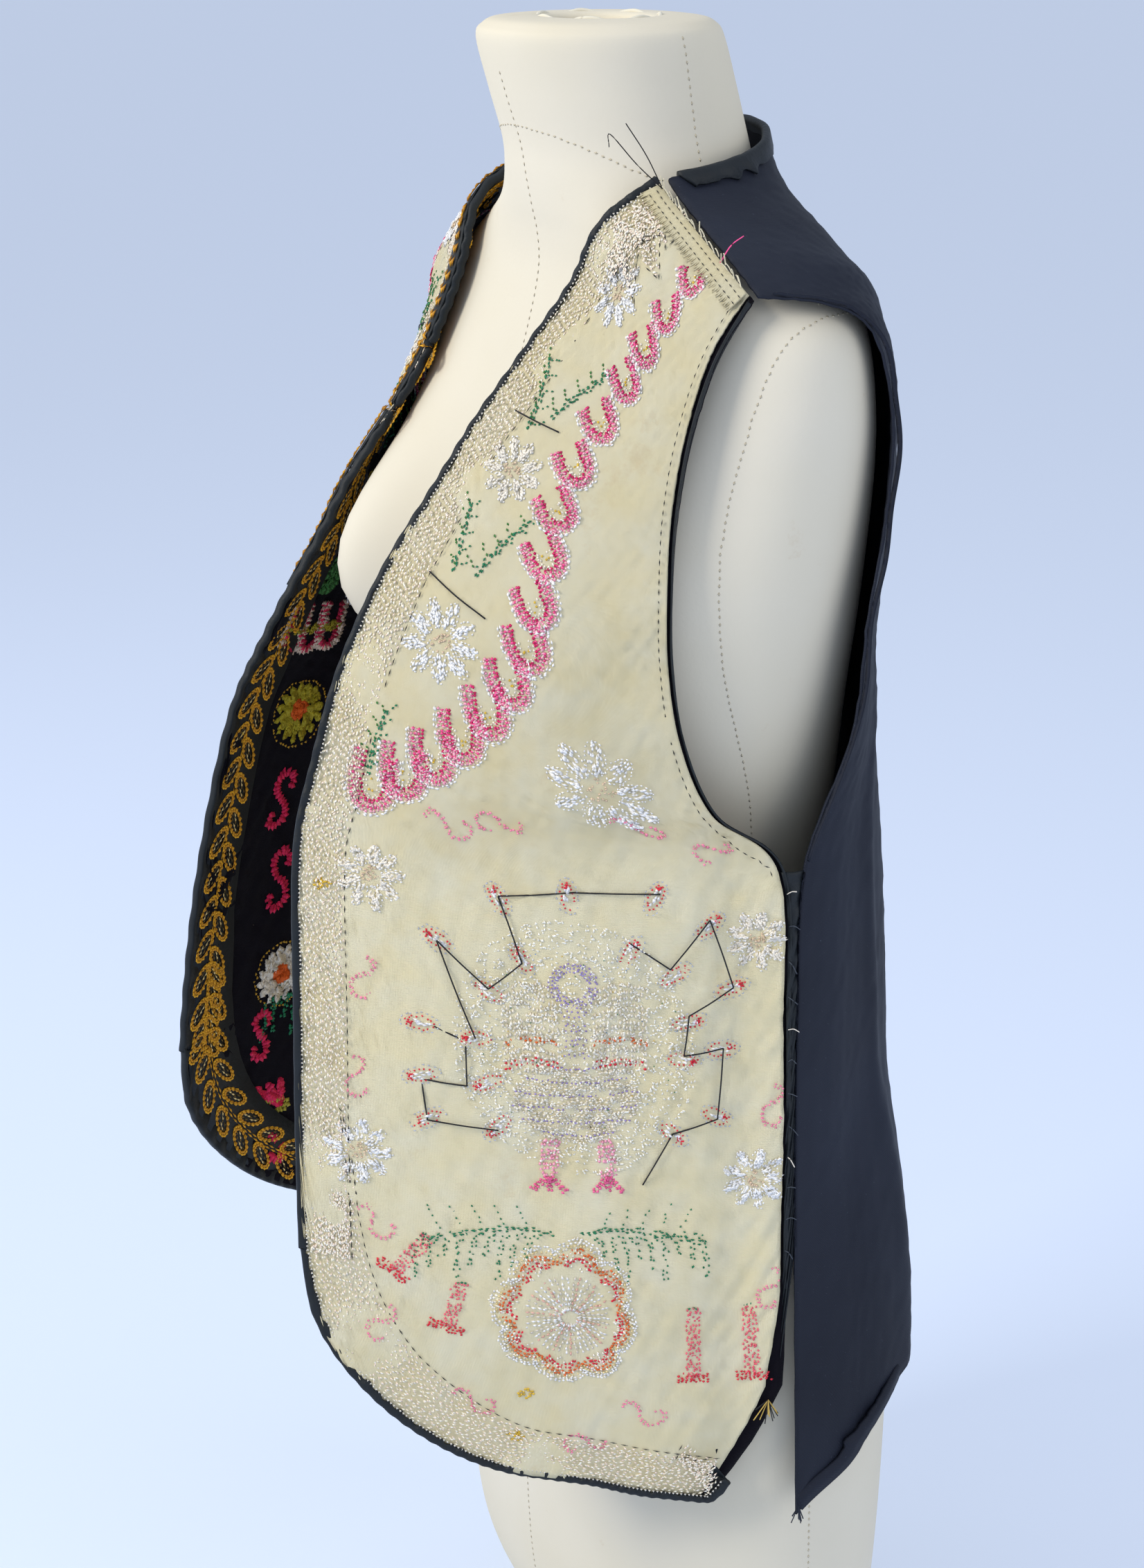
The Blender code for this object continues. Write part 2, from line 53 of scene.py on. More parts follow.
# %% Tables of the form and the panels
CM = 0.01
MM = 0.001
FORM_CLEARANCE, FORM_EASING = 8.0 * MM, 1.5 * MM
EASING_SPAN, REST_PASSES = 20 * MM, 2
# how the vest hangs
TWIST = -7.5 * pi / 180  # the vest is turned about the form, its left side forward
TWIST_AXIS_Y = -1.4 * CM
HANG_REACH = 6 * CM  # half of the width over which slip and lead change sides
# How it lies askew at each height, in cm: the left front lower and the right one higher by slip,
# and the left front further forward and the right one further back by lead.
HANG = [
    # height, slip, lead
    (20.0, 2.5, -0.8),
    (32.0, 2.0, -0.7),
    (44.0, 1.4, -0.1),
    (56.0, 1.0, 1.0),
    (68.0, 0.8, 2.1),
    (80.0, 0.1, 1.4),
    (92.0, 0.0, 0.0),
]
# the dress form
# One row for each level, in cm: its height, half its width, and where its front and back lie on Y.
FORM_LEVELS = [
    # height, half_width, front, back
    (0.0, 12.2, -6.3, 6.3),
    (0.5, 12.8, -6.7, 6.8),
    (3.5, 14.4, -8.4, 7.2),
    (7.0, 15.2, -9.3, 7.8),
    (13.0, 15.5, -9.7, 8.3),
    (21.0, 15.8, -9.9, 8.4),
    (29.0, 15.6, -9.7, 8.1),
    (37.0, 14.2, -9.4, 7.2),
    (47.0, 12.1, -9.2, 5.2),
    (56.0, 13.6, -10.6, 5.1),
    (64.0, 15.2, -11.4, 5.5),
    (70.0, 16.0, -10.7, 5.5),
    (74.0, 16.3, -9.8, 4.9),
    (77.0, 15.9, -9.0, 4.1),
    (78.8, 13.9, -8.7, 3.5),
    (80.3, 10.9, -8.8, 3.0),
    (81.6, 8.2, -9.1, 2.6),
    (83.0, 6.7, -9.4, 2.2),
    (84.6, 6.1, -9.7, 1.9),
    (87.0, 5.9, -10.5, 1.3),
    (89.4, 5.8, -11.2, 0.6),
    (90.1, 5.4, -10.9, 0.2),
    (90.4, 4.6, -10.1, -0.6),
    (90.4, 2.7, -8.1, -2.7),
    (89.7, 2.4, -7.8, -3.0),
]
RESTING_SIDES, RESTING_STEPS = 120, 5
FORM_ROUNDNESS = 2.2  # superellipse power of a level
BUST_X, BUST_Z, BUST_DEPTH = 8.6 * CM, 62.2 * CM, 6.4 * CM
BUST_WIDE, BUST_ABOVE, BUST_BELOW = 4.8 * CM, 7.4 * CM, 6.2 * CM
# the panels, before they are hung
# The left front, a row for each section from the shoulder seam down, in cm. A section runs from
# the front edge to the armhole or side, and bulges out from the straight line between them.
FRONT_SECTIONS = [
    # front_x, front_y, front_z, side_x, side_y, side_z, bulge
    (7.3, -5.1, 83.3, 15.5, -3.8, 79.0, 0.0),
    (6.4, -7.6, 80.5, 15.4, -5.6, 76.2, 0.5),
    (6.1, -9.5, 77.3, 15.3, -6.7, 73.1, 0.7),
    (6.4, -11.5, 73.8, 15.2, -7.3, 69.8, 1.0),
    (6.7, -13.9, 70.4, 15.2, -7.5, 66.6, 1.2),
    (7.3, -17.0, 66.6, 15.3, -7.5, 62.9, 1.2),
    (7.6, -19.7, 62.2, 15.4, -6.9, 59.0, 1.2),
    (7.9, -21.7, 57.8, 15.7, -5.3, 55.4, 1.2),
    (8.2, -23.2, 53.6, 16.4, -2.1, 52.6, 1.2),
    (8.6, -24.2, 45.9, 16.4, -1.6, 45.2, 1.2),
    (8.8, -24.8, 38.5, 16.4, -1.5, 37.9, 1.1),
    (9.0, -25.0, 31.7, 16.4, -1.5, 30.7, 1.0),
    (9.3, -24.4, 26.4, 16.3, -1.6, 24.9, 0.9),
    (9.6, -23.4, 21.6, 16.0, -2.0, 19.4, 0.8),
]
# The front's hem, in sections down and in shares of the width across: its lowest place, how far
# and over what width it rises to the front edge, its slope, and its rise at the side slit.
HEM_LOWEST = 13.0
HEM_FRONT_RISE, HEM_FRONT_SHARE, HEM_SLOPE = 1.9, 0.42, 0.45
HEM_SIDE_RISE, HEM_SIDE_SHARE = 1.2, 0.14

# The back, a row for each section from the top down, in cm: the middle of the back, the armhole
# or side edge, and the angle in degrees through which the section turns from one to the other.
BACK_SECTIONS = [
    # middle_y, middle_z, side_x, side_y, side_z, turn
    (2.7, 82.2, 15.9, -0.6, 78.5, 55),
    (4.0, 78.8, 16.1, 1.9, 77.2, 58),
    (5.2, 74.5, 16.2, 3.1, 73.6, 60),
    (5.8, 69.5, 16.2, 2.9, 69.0, 62),
    (6.1, 64.5, 16.2, 2.1, 64.4, 66),
    (7.0, 59.0, 16.2, 1.4, 58.8, 74),
    (8.4, 52.8, 16.4, -1.1, 52.6, 82),
    (9.2, 45.4, 16.4, -1.35, 45.2, 82),
    (9.6, 38.0, 16.4, -1.3, 37.9, 82),
    (9.8, 31.6, 16.6, -1.2, 30.7, 82),
    (9.7, 28.2, 16.9, -1.0, 19.2, 82),
]
NAPE = Vector((0.0, 2.6, 85.2)) * CM
NECK_POINT = Vector((7.3, -5.0, 83.3)) * CM  # where the neckline and the shoulder seam meet
SHOULDER_POINT = Vector((15.5, -3.7, 79.0)) * CM
NECK_SHARE = 0.42  # of each half of the back's top edge, the share that is neckline
# Soft folds that hang from the shoulder blades: their place from the middle back (0) to the side
# (1), half their width there, and how far they stand out at the waist and the hem, in cm.
BACK_FOLDS = [
    # place, half_width, at_waist, at_hem
    (0.86, 0.08, 0.3, 0.8),
    (0.60, 0.10, -0.2, -0.7),
    (0.28, 0.12, 0.1, 0.6),
]

NECK_EASE, EASED_ROWS = 0.55, 3  # how the first sections are spread outward, below the neckline
FOLD_START, FOLD_DEEPENING = (5, 8), (8, 11)  # sections over which they begin, then deepen
HEIGHT_BEND = 1.6  # how late each section of the back drops from the middle back to the side

# %% [markdown]
# Between the rows of a table everything follows a smooth curve that passes through each row, as a
# draughtsman's spline does. Cloth laid over the form rests on a finer skin made the same way.
# The last function says where the hem runs, counted in sections down from the shoulder.

# %% Curves and the form's rings
def mixed(a, b, share):
    return a + (b - a) * share


def smooth_step(low, high, value):
    share = min(1.0, max(0.0, (value - low) / (high - low)))
    return share * share * (3 - 2 * share)


def through(values, place):
    """A smooth curve through evenly spaced values (Catmull-Rom), at a place counted in values."""
    last = len(values) - 1
    i = max(0, min(int(place), last - 1))
    t = place - i
    here, after = values[i], values[i + 1]
    before = values[i - 1] if i else here * 2 - after
    beyond = values[i + 2] if i + 2 <= last else after * 2 - here
    return 0.5 * (
        here * 2
        + (after - before) * t
        + (before * 2 - here * 5 + after * 4 - beyond) * t * t
        + (here * 3 - before - after * 3 + beyond) * t * t * t
    )


def power(value, exponent):
    """The power of a value that keeps its sign, as a superellipse needs."""
    return abs(value) ** exponent * (1 if value > 0 else -1)


def bust(x, z):
    """How far the bust stands out of its level's own outline."""
    reach = BUST_ABOVE if z > BUST_Z else BUST_BELOW
    aside = (abs(x) - BUST_X) / BUST_WIDE
    return BUST_DEPTH * exp(-(aside**2) - ((z - BUST_Z) / reach) ** 2)


def form_ring(level, sides):
    height, half_width, front, back = (value * CM for value in level)
    middle, half_depth = (front + back) / 2, (back - front) / 2
    ring = []
    for k in range(sides):
        turn = 2 * pi * k / sides
        x = half_width * power(cos(turn), 2 / FORM_ROUNDNESS)
        y = middle + half_depth * power(sin(turn), 2 / FORM_ROUNDNESS)
        if turn > pi:
            y -= bust(x, height) * abs(sin(turn)) ** 0.5
        ring.append(Vector((x, y, height)))
    return ring


def resting_surface():
    """A finer skin of the form, smooth between its levels, for the cloth to rest on."""
    levels = [Vector(level) for level in FORM_LEVELS]
    places = [k / RESTING_STEPS for k in range((len(levels) - 1) * RESTING_STEPS + 1)]
    rings = [form_ring(through(levels, place), RESTING_SIDES) for place in places]
    points = [point for ring in rings for point in ring]
    faces = []
    for j in range(len(rings) - 1):
        for k in range(RESTING_SIDES):
            after = (k + 1) % RESTING_SIDES
            low, high = j * RESTING_SIDES, (j + 1) * RESTING_SIDES
            faces.append((low + k, low + after, high + after, high + k))
    return BVHTree.FromPolygons(points, faces)


def hung(point):
    """Where a point of the evenly drawn vest really hangs, turned about the form and askew."""
    x, y = point.x, point.y - TWIST_AXIS_Y
    first, step = HANG[0][0] * CM, (HANG[1][0] - HANG[0][0]) * CM
    place = max(0.0, min(len(HANG) - 1.0, (point.z - first) / step))
    side = smooth_step(-HANG_REACH, HANG_REACH, x) * 2 - 1
    slip = through([row[1] for row in HANG], place) * side * CM
    lead = through([row[2] for row in HANG], place) * side * CM * smooth_step(-6.5 * CM, -11 * CM, y)
    return Vector((
        x * cos(TWIST) - y * sin(TWIST),
        x * sin(TWIST) + y * cos(TWIST) + TWIST_AXIS_Y - lead,
        point.z - slip,
    ))


def front_drawn(u, v):
    spots = []
    for front_x, front_y, front_z, side_x, side_y, side_z, bulge in FRONT_SECTIONS:
        start, end = Vector((front_x, front_y, front_z)), Vector((side_x, side_y, side_z))
        chord = end - start
        out = Vector((chord.y, -chord.x, 0)).normalized()
        spots.append((start + chord * u + out * bulge * 4 * u * (1 - u)) * CM)
    return through(spots, v)


def back_top(u):
    """The back's top edge, from the nape round the neck and along the shoulder seam."""
    if u > NECK_SHARE:
        return mixed(NECK_POINT, SHOULDER_POINT, (u - NECK_SHARE) / (1 - NECK_SHARE))
    turn = u / NECK_SHARE * pi / 2
    return Vector((
        NECK_POINT.x * sin(turn),
        mixed(NECK_POINT.y, NAPE.y, cos(turn)),
        mixed(NECK_POINT.z, NAPE.z, cos(turn) ** 2),
    ))


def back_drawn(u, v):
    half = abs(u)
    spots = [back_top(half)]
    for row, (middle_y, middle_z, side_x, side_y, side_z, turn) in enumerate(BACK_SECTIONS):
        whole = turn * pi / 180
        eased = half + max(0, 1 - row / EASED_ROWS) * NECK_EASE * half * (1 - half)
        part = eased * whole
        spots.append(Vector((
            side_x * sin(part) / sin(whole),
            mixed(side_y, middle_y, (cos(part) - cos(whole)) / (1 - cos(whole))),
            mixed(middle_z, side_z, eased**HEIGHT_BEND),
        )) * CM)
    point = through(spots, v)
    share, low = smooth_step(*FOLD_START, v), smooth_step(*FOLD_DEEPENING, v)
    for place, half_width, at_waist, at_hem in BACK_FOLDS:
        near = exp(-(((half - place) / half_width) ** 2))
        point.y += mixed(at_waist, at_hem, low) * share * near * CM
    if u < 0:
        point.x = -point.x
    return point


def hem_place(u):
    to_front = max(0.0, 1 - u / HEM_FRONT_SHARE)
    to_side = max(0.0, (u - 1 + HEM_SIDE_SHARE) / HEM_SIDE_SHARE)
    rise = HEM_FRONT_RISE * (1 - (1 - to_front**2) ** 0.5) + HEM_SIDE_RISE * to_side**1.4
    return HEM_LOWEST - rise - HEM_SLOPE * (1 - u)

# %% [markdown]
# ## Fine surfaces
# Each panel becomes a fine grid of points with normals. Everything sewn on it, from a hem to one
# stitch, is placed by its share across the panel (u) and its section down it (v).

# %% A fine grid that stitches can be placed on
class Surface:
    """A panel's middle surface as a grid, with smooth look-up of points, normals and slopes."""

    def __init__(self, drawn, side, out, across, down, low_v):
        self.side, self.out, self.low_v = side, out, low_v
        self.us, self.ts = across, down
        grid = []
        for t in down:
            row = []
            for u in across:
                row.append(rested(drawn(u, low_v(u) * t), side))
            grid.append(row)
        self.points = np.array(grid)
        du = np.gradient(self.points, across, axis=1)
        dt = np.gradient(self.points, down, axis=0)
        normal = np.cross(dt, du) * out
        self.normals = normal / np.linalg.norm(normal, axis=2, keepdims=True)

    def look(self, array, u, v):
        """The array's value at places (u, v), mixed from the four grid points around each."""
        u, v = np.asarray(u, float), np.asarray(v, float)
        t = v / np.array([self.low_v(min(1, max(0, x))) for x in u.ravel()]).reshape(u.shape)
        i = np.interp(u, self.us, np.arange(len(self.us)))
        j = np.interp(t, self.ts, np.arange(len(self.ts)))
        i0 = np.clip(i.astype(int), 0, len(self.us) - 2)
        j0 = np.clip(j.astype(int), 0, len(self.ts) - 2)
        a, b = (i - i0)[..., None], (j - j0)[..., None]
        top = array[j0, i0] * (1 - a) + array[j0, i0 + 1] * a
        low = array[j0 + 1, i0] * (1 - a) + array[j0 + 1, i0 + 1] * a
        return top * (1 - b) + low * b

    def at(self, u, v, off=0.0):
        off = np.asarray(off, float)
        off = off[..., None] if off.ndim else off
        return self.look(self.points, u, v) + self.look(self.normals, u, v) * off

    def slopes(self, u, v):
        step = 0.01
        u, v = np.asarray(u, float), np.asarray(v, float)
        u0, u1 = np.clip(u - step, self.us[0], 1 - step), np.clip(u + step, self.us[0] + step, 1)
        low = np.array([self.low_v(min(1, max(0, x))) for x in u.ravel()]).reshape(u.shape)
        v0, v1 = np.clip(v - step, 0.06, low - 2 * step), np.clip(v + step, 0.08, low - step)
        across = (self.at(u1, v) - self.at(u0, v)) / (u1 - u0)[..., None]
        down = (self.at(u, v1) - self.at(u, v0)) / (v1 - v0)[..., None]
        return across, down


def rested(point, side):
    """A drawn point, hung askew and lifted clear of the form."""
    point.x *= side
    point = hung(point)
    for _ in range(REST_PASSES):
        place, normal, _, _ = resting.find_nearest(point)
        inside = FORM_CLEARANCE - (point - place).dot(normal)
        push = inside if inside > EASING_SPAN else FORM_EASING * log(1 + exp(inside / FORM_EASING))
        point += normal * push
    return tuple(point)


resting = resting_surface()
wide, tall = ((96, 180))
front_u = np.linspace(0, 1, wide + 1)
front_t = np.linspace(0.003, 1, tall + 1) ** 1.1
left = Surface(front_drawn, 1, 1, front_u, front_t, hem_place)
right = Surface(front_drawn, -1, -1, front_u, front_t, hem_place)
wide, tall = ((150, 120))
back_u = np.linspace(-1, 1, wide + 1)
back_t = np.linspace(0.003, 1, tall + 1) ** 1.2
back_side = Surface(back_drawn, 1, -1, back_u, back_t, lambda u: float(len(BACK_SECTIONS)))
print("grids:", left.points.shape, back_side.points.shape)


# %% [markdown]
# ## Wiring up finishes
# Shader sums read best as sums, so one small class wraps a socket and lets + - * / build the
# Math nodes. Every finish below is written with it.

# %% A socket that can be added and multiplied
class Wire:
    """One socket of a shader tree, with arithmetic."""

    def __init__(self, tree, socket):
        self.tree, self.socket = tree, socket

    def math(self, operation, *others):
        node = self.tree.nodes.new("ShaderNodeMath")
        node.operation = operation
        for place, value in zip(node.inputs, (self, *others)):
            if isinstance(value, Wire):
                self.tree.links.new(value.socket, place)
            else:
                place.default_value = value
        return Wire(self.tree, node.outputs[0])

    def __add__(self, other):
        return self.math("ADD", other)

    def __mul__(self, other):
        return self.math("MULTIPLY", other)

    def node(self, kind, output=0, inputs=None, **settings):
        """Any other node, fed by name. The first free input takes this socket."""
        made = self.tree.nodes.new(kind)
        for key, value in settings.items():
            setattr(made, key, value)
        for name, value in (inputs or {}).items():
            if isinstance(value, Wire):
                self.tree.links.new(value.socket, made.inputs[name])
            else:
                made.inputs[name].default_value = value
        return Wire(self.tree, made.outputs[output])

    __radd__, __rmul__ = __add__, __mul__


def finish_of(name, roughness=0.8, sheen=0.0, specular=0.3):
    """A new Principled finish, with its object coordinates, UV and shader."""
    made = bpy.data.materials.new(name)
    made.use_nodes = True
    tree = made.node_tree
    shader = tree.nodes["Principled BSDF"]
    shader.inputs["Roughness"].default_value = roughness
    shader.inputs["Sheen Weight"].default_value = sheen
    shader.inputs["Specular IOR Level"].default_value = specular
    coords = tree.nodes.new("ShaderNodeTexCoord")
    return made, tree, shader, Wire(tree, coords.outputs["Object"]), Wire(tree, coords.outputs["UV"])


def noise(where, scale, detail=3.0, rough=0.5):
    return where.node("ShaderNodeTexNoise", 0, {
        "Vector": where, "Scale": scale, "Detail": detail, "Roughness": rough})


def ramp(where, low, high):
    return where.node("ShaderNodeMapRange", 0, {"Value": where, "From Min": low, "From Max": high})


def blended(share, one, other):
    node = share.tree.nodes.new("ShaderNodeMix")
    node.data_type = "RGBA"
    share.tree.links.new(share.socket, node.inputs[0])
    for place, value in ((node.inputs[6], one), (node.inputs[7], other)):
        if isinstance(value, Wire):
            share.tree.links.new(value.socket, place)
        else:
            place.default_value = (*value, 1)
    return Wire(share.tree, node.outputs[2])


def bumped(shader, height, strength, distance):
    made = height.node("ShaderNodeBump", 0, {
        "Height": height, "Strength": strength, "Distance": distance})
    height.tree.links.new(made.socket, shader.inputs["Normal"])


def painted(shader, color):
    color.tree.links.new(color.socket, shader.inputs["Base Color"])


# %% [markdown]
# ## The finishes
# Cotton is matt, with a plain weave and old stains. Sateen has a fine slanting twill and a faint
# sheen. Velvet is nearly black. The form wears a thin ivory jersey.

# %% Cotton, velvet, sateen, binding, thread and jersey
def woven(uv, count):
    """A plain weave: two crossed waves, from 0 to 1."""
    wave = {"Vector": uv, "Scale": count, "Distortion": 0.6, "Detail": 1.0}
    one = uv.node("ShaderNodeTexWave", 1, wave, bands_direction="X")
    two = uv.node("ShaderNodeTexWave", 1, wave, bands_direction="Y")
    return one * 0.5 + two * 0.5


cotton, tree, shader, where, uv = finish_of("cream cotton backing", 0.95, 0.0, 0.1)
stain = ramp(noise(where, 9, 5, 0.6), 0.48, 0.75)
base = blended(stain, (0.97, 0.86, 0.55), (0.89, 0.76, 0.44))
base = blended(ramp(noise(where, 45, 4), 0.35, 0.75), base, (0.97, 0.90, 0.66))
base = blended(ramp(noise(where, 23, 6, 0.7), 0.62, 0.8), base, (0.84, 0.68, 0.40))
painted(shader, base)
bumped(shader, woven(uv, 7.0) + noise(where, 260, 3) * 0.8 + noise(where, 95, 4) * 3.0, 0.7, 0.0010)

velvet, tree, shader, where, uv = finish_of("black velvet", 1.0, 0.04, 0.05)
shader.inputs["Base Color"].default_value = (0.006, 0.005, 0.008, 1)
bumped(shader, noise(where, 900, 2), 0.4, 0.0008)

sateen, tree, shader, where, uv = finish_of("navy sateen", 0.62, 0.0, 0.22)
lint = ramp(noise(where, 700, 2, 0.8), 0.70, 0.86)
worn = blended(ramp(noise(where, 7, 4), 0.35, 0.7), (0.0065, 0.0085, 0.017), (0.013, 0.017, 0.031))
painted(shader, blended(lint, worn, (0.10, 0.12, 0.16)))
twill = uv.node("ShaderNodeTexWave", 1, {"Vector": uv, "Scale": 5.5, "Distortion": 0.3},
                bands_direction="DIAGONAL")
bumped(shader, twill + noise(where, 300, 3) * 0.5, 0.22, 0.0006)

binding, tree, shader, where, uv = finish_of("dark satin binding", 0.55, 0.0, 0.3)
painted(shader, blended(noise(where, 60, 4), (0.005, 0.007, 0.009), (0.013, 0.018, 0.023)))
bumped(shader, noise(where, 500, 3), 0.4, 0.0008)

thread, tree, shader, where, uv = finish_of("embroidery thread", 0.6, 0.0, 0.3)
dye = where.node("ShaderNodeAttribute", 0, attribute_name="dye")
painted(shader, dye)

jersey, tree, shader, where, uv = finish_of("ivory jersey cover", 0.85, 0.0, 0.2)
tone = blended(ramp(noise(where, 5, 4), 0.35, 0.75), (0.72, 0.67, 0.56), (0.66, 0.60, 0.46))
painted(shader, blended(ramp(noise(where, 40, 5, 0.7), 0.66, 0.85), tone, (0.60, 0.50, 0.36)))
bumped(shader, noise(where, 420, 2) + noise(where, 60, 2) * 0.4, 0.12, 0.0006)

print("finishes:", len(bpy.data.materials))


# %% [markdown]
# ## Cloth
# A panel of cloth is a thin closed shell on its surface. Its puckers come from a few crossed
# waves, and the long creases are placed one by one.

# %% Making a mesh from grids
def piece(name, points, faces, finish, uv=None):
    """A named mesh that rides with the body, in the finish it is given."""
    mesh = bpy.data.meshes.new(name)
    mesh.from_pydata(np.asarray(points).reshape(-1, 3).tolist(), [], faces)
    mesh.materials.append(finish)
    mesh.shade_smooth()
    if uv is not None:
        layer = mesh.uv_layers.new(name="cloth")
        corner = np.zeros(len(mesh.loops), int)
        mesh.loops.foreach_get("vertex_index", corner)
        layer.data.foreach_set("uv", np.asarray(uv, float).reshape(-1, 2)[corner].ravel())
    made = bpy.data.objects.new(name, mesh)
    bpy.context.scene.collection.objects.link(made)
    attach(made, "root")
    return made


def wall_faces(tall, wide):
    """Faces of a closed wall between an outer grid and an inner one, both tall x wide."""
    index = np.arange(tall * wide).reshape(tall, wide)
    quads = np.stack([index[:-1, :-1], index[:-1, 1:], index[1:, 1:], index[1:, :-1]], -1)
    outer, inner = quads.reshape(-1, 4), quads.reshape(-1, 4)[:, ::-1] + tall * wide
    rim = np.concatenate([index[0, :-1], index[:-1, -1], index[-1, :0:-1], index[:0:-1, 0]])
    nxt = np.roll(rim, -1)
    side = np.stack([nxt, rim, rim + tall * wide, nxt + tall * wide], -1)
    return np.concatenate([outer, inner, side]).tolist()


def tube_faces(tall, wide):
    """Faces of a closed tube of rings, with a cap at each end."""
    index = np.arange(tall * wide).reshape(tall, wide)
    after = np.roll(index, -1, axis=1)
    faces = np.stack([index[:-1], after[:-1], after[1:], index[1:]], -1).reshape(-1, 4).tolist()
    return faces + [index[0, ::-1].tolist(), index[-1].tolist()]


def puckers(u, v, size, seed, waves=14, low=0.35, high=1.6):
    """Uneven little waves, size high, between low and high cm long. u and v are in cm."""
    chance = np.random.default_rng(seed)
    total = np.zeros_like(u)
    for _ in range(waves):
        length = chance.uniform(low, high)
        turn = chance.uniform(0, 2 * pi)
        phase = chance.uniform(0, 2 * pi)
        total += np.sin((u * cos(turn) + v * sin(turn)) * 2 * pi / length + phase)
    return total / waves**0.5 * size


def sheet_piece(name, surface, us, vs, low, high, relief, finish):
    """A closed sheet between two distances from a surface, over a grid of (u, v) places."""
    tall, wide = us.shape
    lift = relief(us * 24, vs * 6)
    outer = surface.at(us, vs, high + lift)
    inner = surface.at(us, vs, low + lift)
    uv = np.stack([us * 24, vs * 6], -1)
    points, faces = np.concatenate([outer, inner]), wall_faces(tall, wide)
    return piece(name, points, faces, finish, np.concatenate([uv, uv]))


def front_grid(columns, rows, seam, armhole, slit, low_edge=0.0012):
    """Places over a front, set in from the shoulder, the armhole and the slit, in metres."""
    shares = np.linspace(0, 1, columns + 1)
    downs = np.linspace(0, 1, rows + 1) ** 1.08
    us, vs = np.meshgrid(shares, downs)
    hems = np.array([hem_place(u) for u in shares])
    start = seam / 0.03
    vs = start + vs * (hems - low_edge / 0.05 - start)
    inset = armhole + (slit - armhole) * np.clip((vs / 13 - 0.84) / 0.06, 0, 1)
    width = 0.10 + 0.145 * np.clip((vs - 1) / 7, 0, 1)
    us = 0.0012 / width + us * (1 - 0.0012 / width - inset / width)
    return us, vs


# %% [markdown]
# ## The fronts
# Each front is two layers. Cream cotton backs the velvet, so that hundreds of stitches have
# something firm to hold. It puckers where the needlework is dense and lies flatter near the armhole.
# The layer that faces the room gets the finer grid.

# %% The two fronts, backing and velvet
def backing_relief(seed):
    def relief(x, y):
        small = puckers(x, y, 0.00036, seed, 18, 0.4, 1.5) * (1 + np.exp(-(((y - 57) / 12) ** 2)))
        broad = puckers(x, y, 0.0009, seed + 1, 6, 5, 11)
        edge = np.exp(-((x / 2.6) ** 4)) * puckers(x * 0.6, y * 1.6, 0.00030, seed + 2, 10, 0.35, 0.8)
        side = np.exp(-(((x - 21.5) / 1.3) ** 2)) * np.clip((y - 44) / 8, 0, 1) * 0.0032
        return small + broad + edge - side
    return relief


fine = ((120, 190))
plain = ((56, 90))
for name, surface, grid_b, grid_v in (("left", left, fine, plain), ("right", right, plain, fine)):
    us, vs = front_grid(*grid_b, 0.0012, 0.0035, 0.009)
    sheet_piece(
        f"backing_{name}", surface, us, vs, 0.0004, 0.0014, backing_relief(3), cotton)
    us, vs = front_grid(*grid_v, 0.0012, 0.0, 0.0)
    sheet_piece(
        f"velvet_{name}", surface, us, vs, -0.0013, -0.0004, backing_relief(3), velvet)
    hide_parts(f"front_{name}_backing")
    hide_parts(f"front_{name}_velvet")


# %% [markdown]
# ## The back
# The back is one piece of navy sateen. It hangs free below the shoulder blades, in long shallow
# folds, and drags a little toward the armholes where the shoulders carry the weight.

# %% The back
def back_relief(x, y):
    drag = np.exp(-(((np.abs(x) - 15) / 6) ** 2)) * np.exp(-(((y - 12) / 9) ** 2))
    drag = drag * np.sin(np.abs(x) * 0.7 + y * 0.45) * 0.0012
    long = np.sin(x * 0.55 + 0.5) * np.clip((y - 24) / 30, 0, 1) * 0.0016
    crease = np.exp(-(((x - 15.5 + (y - 45) * 0.10) / 0.9) ** 2))
    crease = crease * np.clip((y - 30) / 12, 0, 1) * 0.0026
    return drag + long + crease + puckers(x, y, 0.00022, 8, 12, 0.6, 2.5)


wide, tall = ((170, 140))
us, vs = np.meshgrid(np.linspace(-1, 1, wide + 1), np.linspace(0.04, len(BACK_SECTIONS), tall + 1))
sheet_piece(
    "back_cloth", back_side, us, vs, -0.0007, 0.0007, back_relief, sateen)
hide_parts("back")


# %% [markdown]
# ## Bindings, bands and hems
# A strip follows a path of (u, v) places along a panel's edge. Its outline is a short list of
# (distance in from the edge, height off the panel). A binding's outline wraps round the edge.

# %% Strips along an edge
def inward(surface, path):
    """For each place of a path, the change of (u, v) that is one metre in from the edge."""
    path = np.asarray(path, float)
    across, down = surface.slopes(path[:, 0], path[:, 1])
    step = np.gradient(path, axis=0)
    ahead = across * step[:, :1] + down * step[:, 1:]
    way = np.cross(surface.look(surface.normals, path[:, 0], path[:, 1]), ahead)
    way /= np.linalg.norm(way, axis=1, keepdims=True)
    way *= surface.side
    aa, ab = (across * across).sum(1), (across * down).sum(1)
    bb = (down * down).sum(1)
    wa, wb = (way * across).sum(1), (way * down).sum(1)
    scale = aa * bb * 1.02 - ab * ab
    return np.stack([(wa * bb - wb * ab) / scale, (wb * aa - wa * ab) / scale], -1), way


def dense(path, step=0.02):
    """The path with places added, so that none is further than step from the next."""
    path = np.asarray(path, float)
    lengths = np.linalg.norm(np.diff(path, axis=0) * [10, 1], axis=1)
    along = np.concatenate([[0], np.cumsum(lengths)])
    spots = np.linspace(0, along[-1], max(8, int(along[-1] / step)))
    return np.stack([np.interp(spots, along, path[:, k]) for k in (0, 1)], -1)


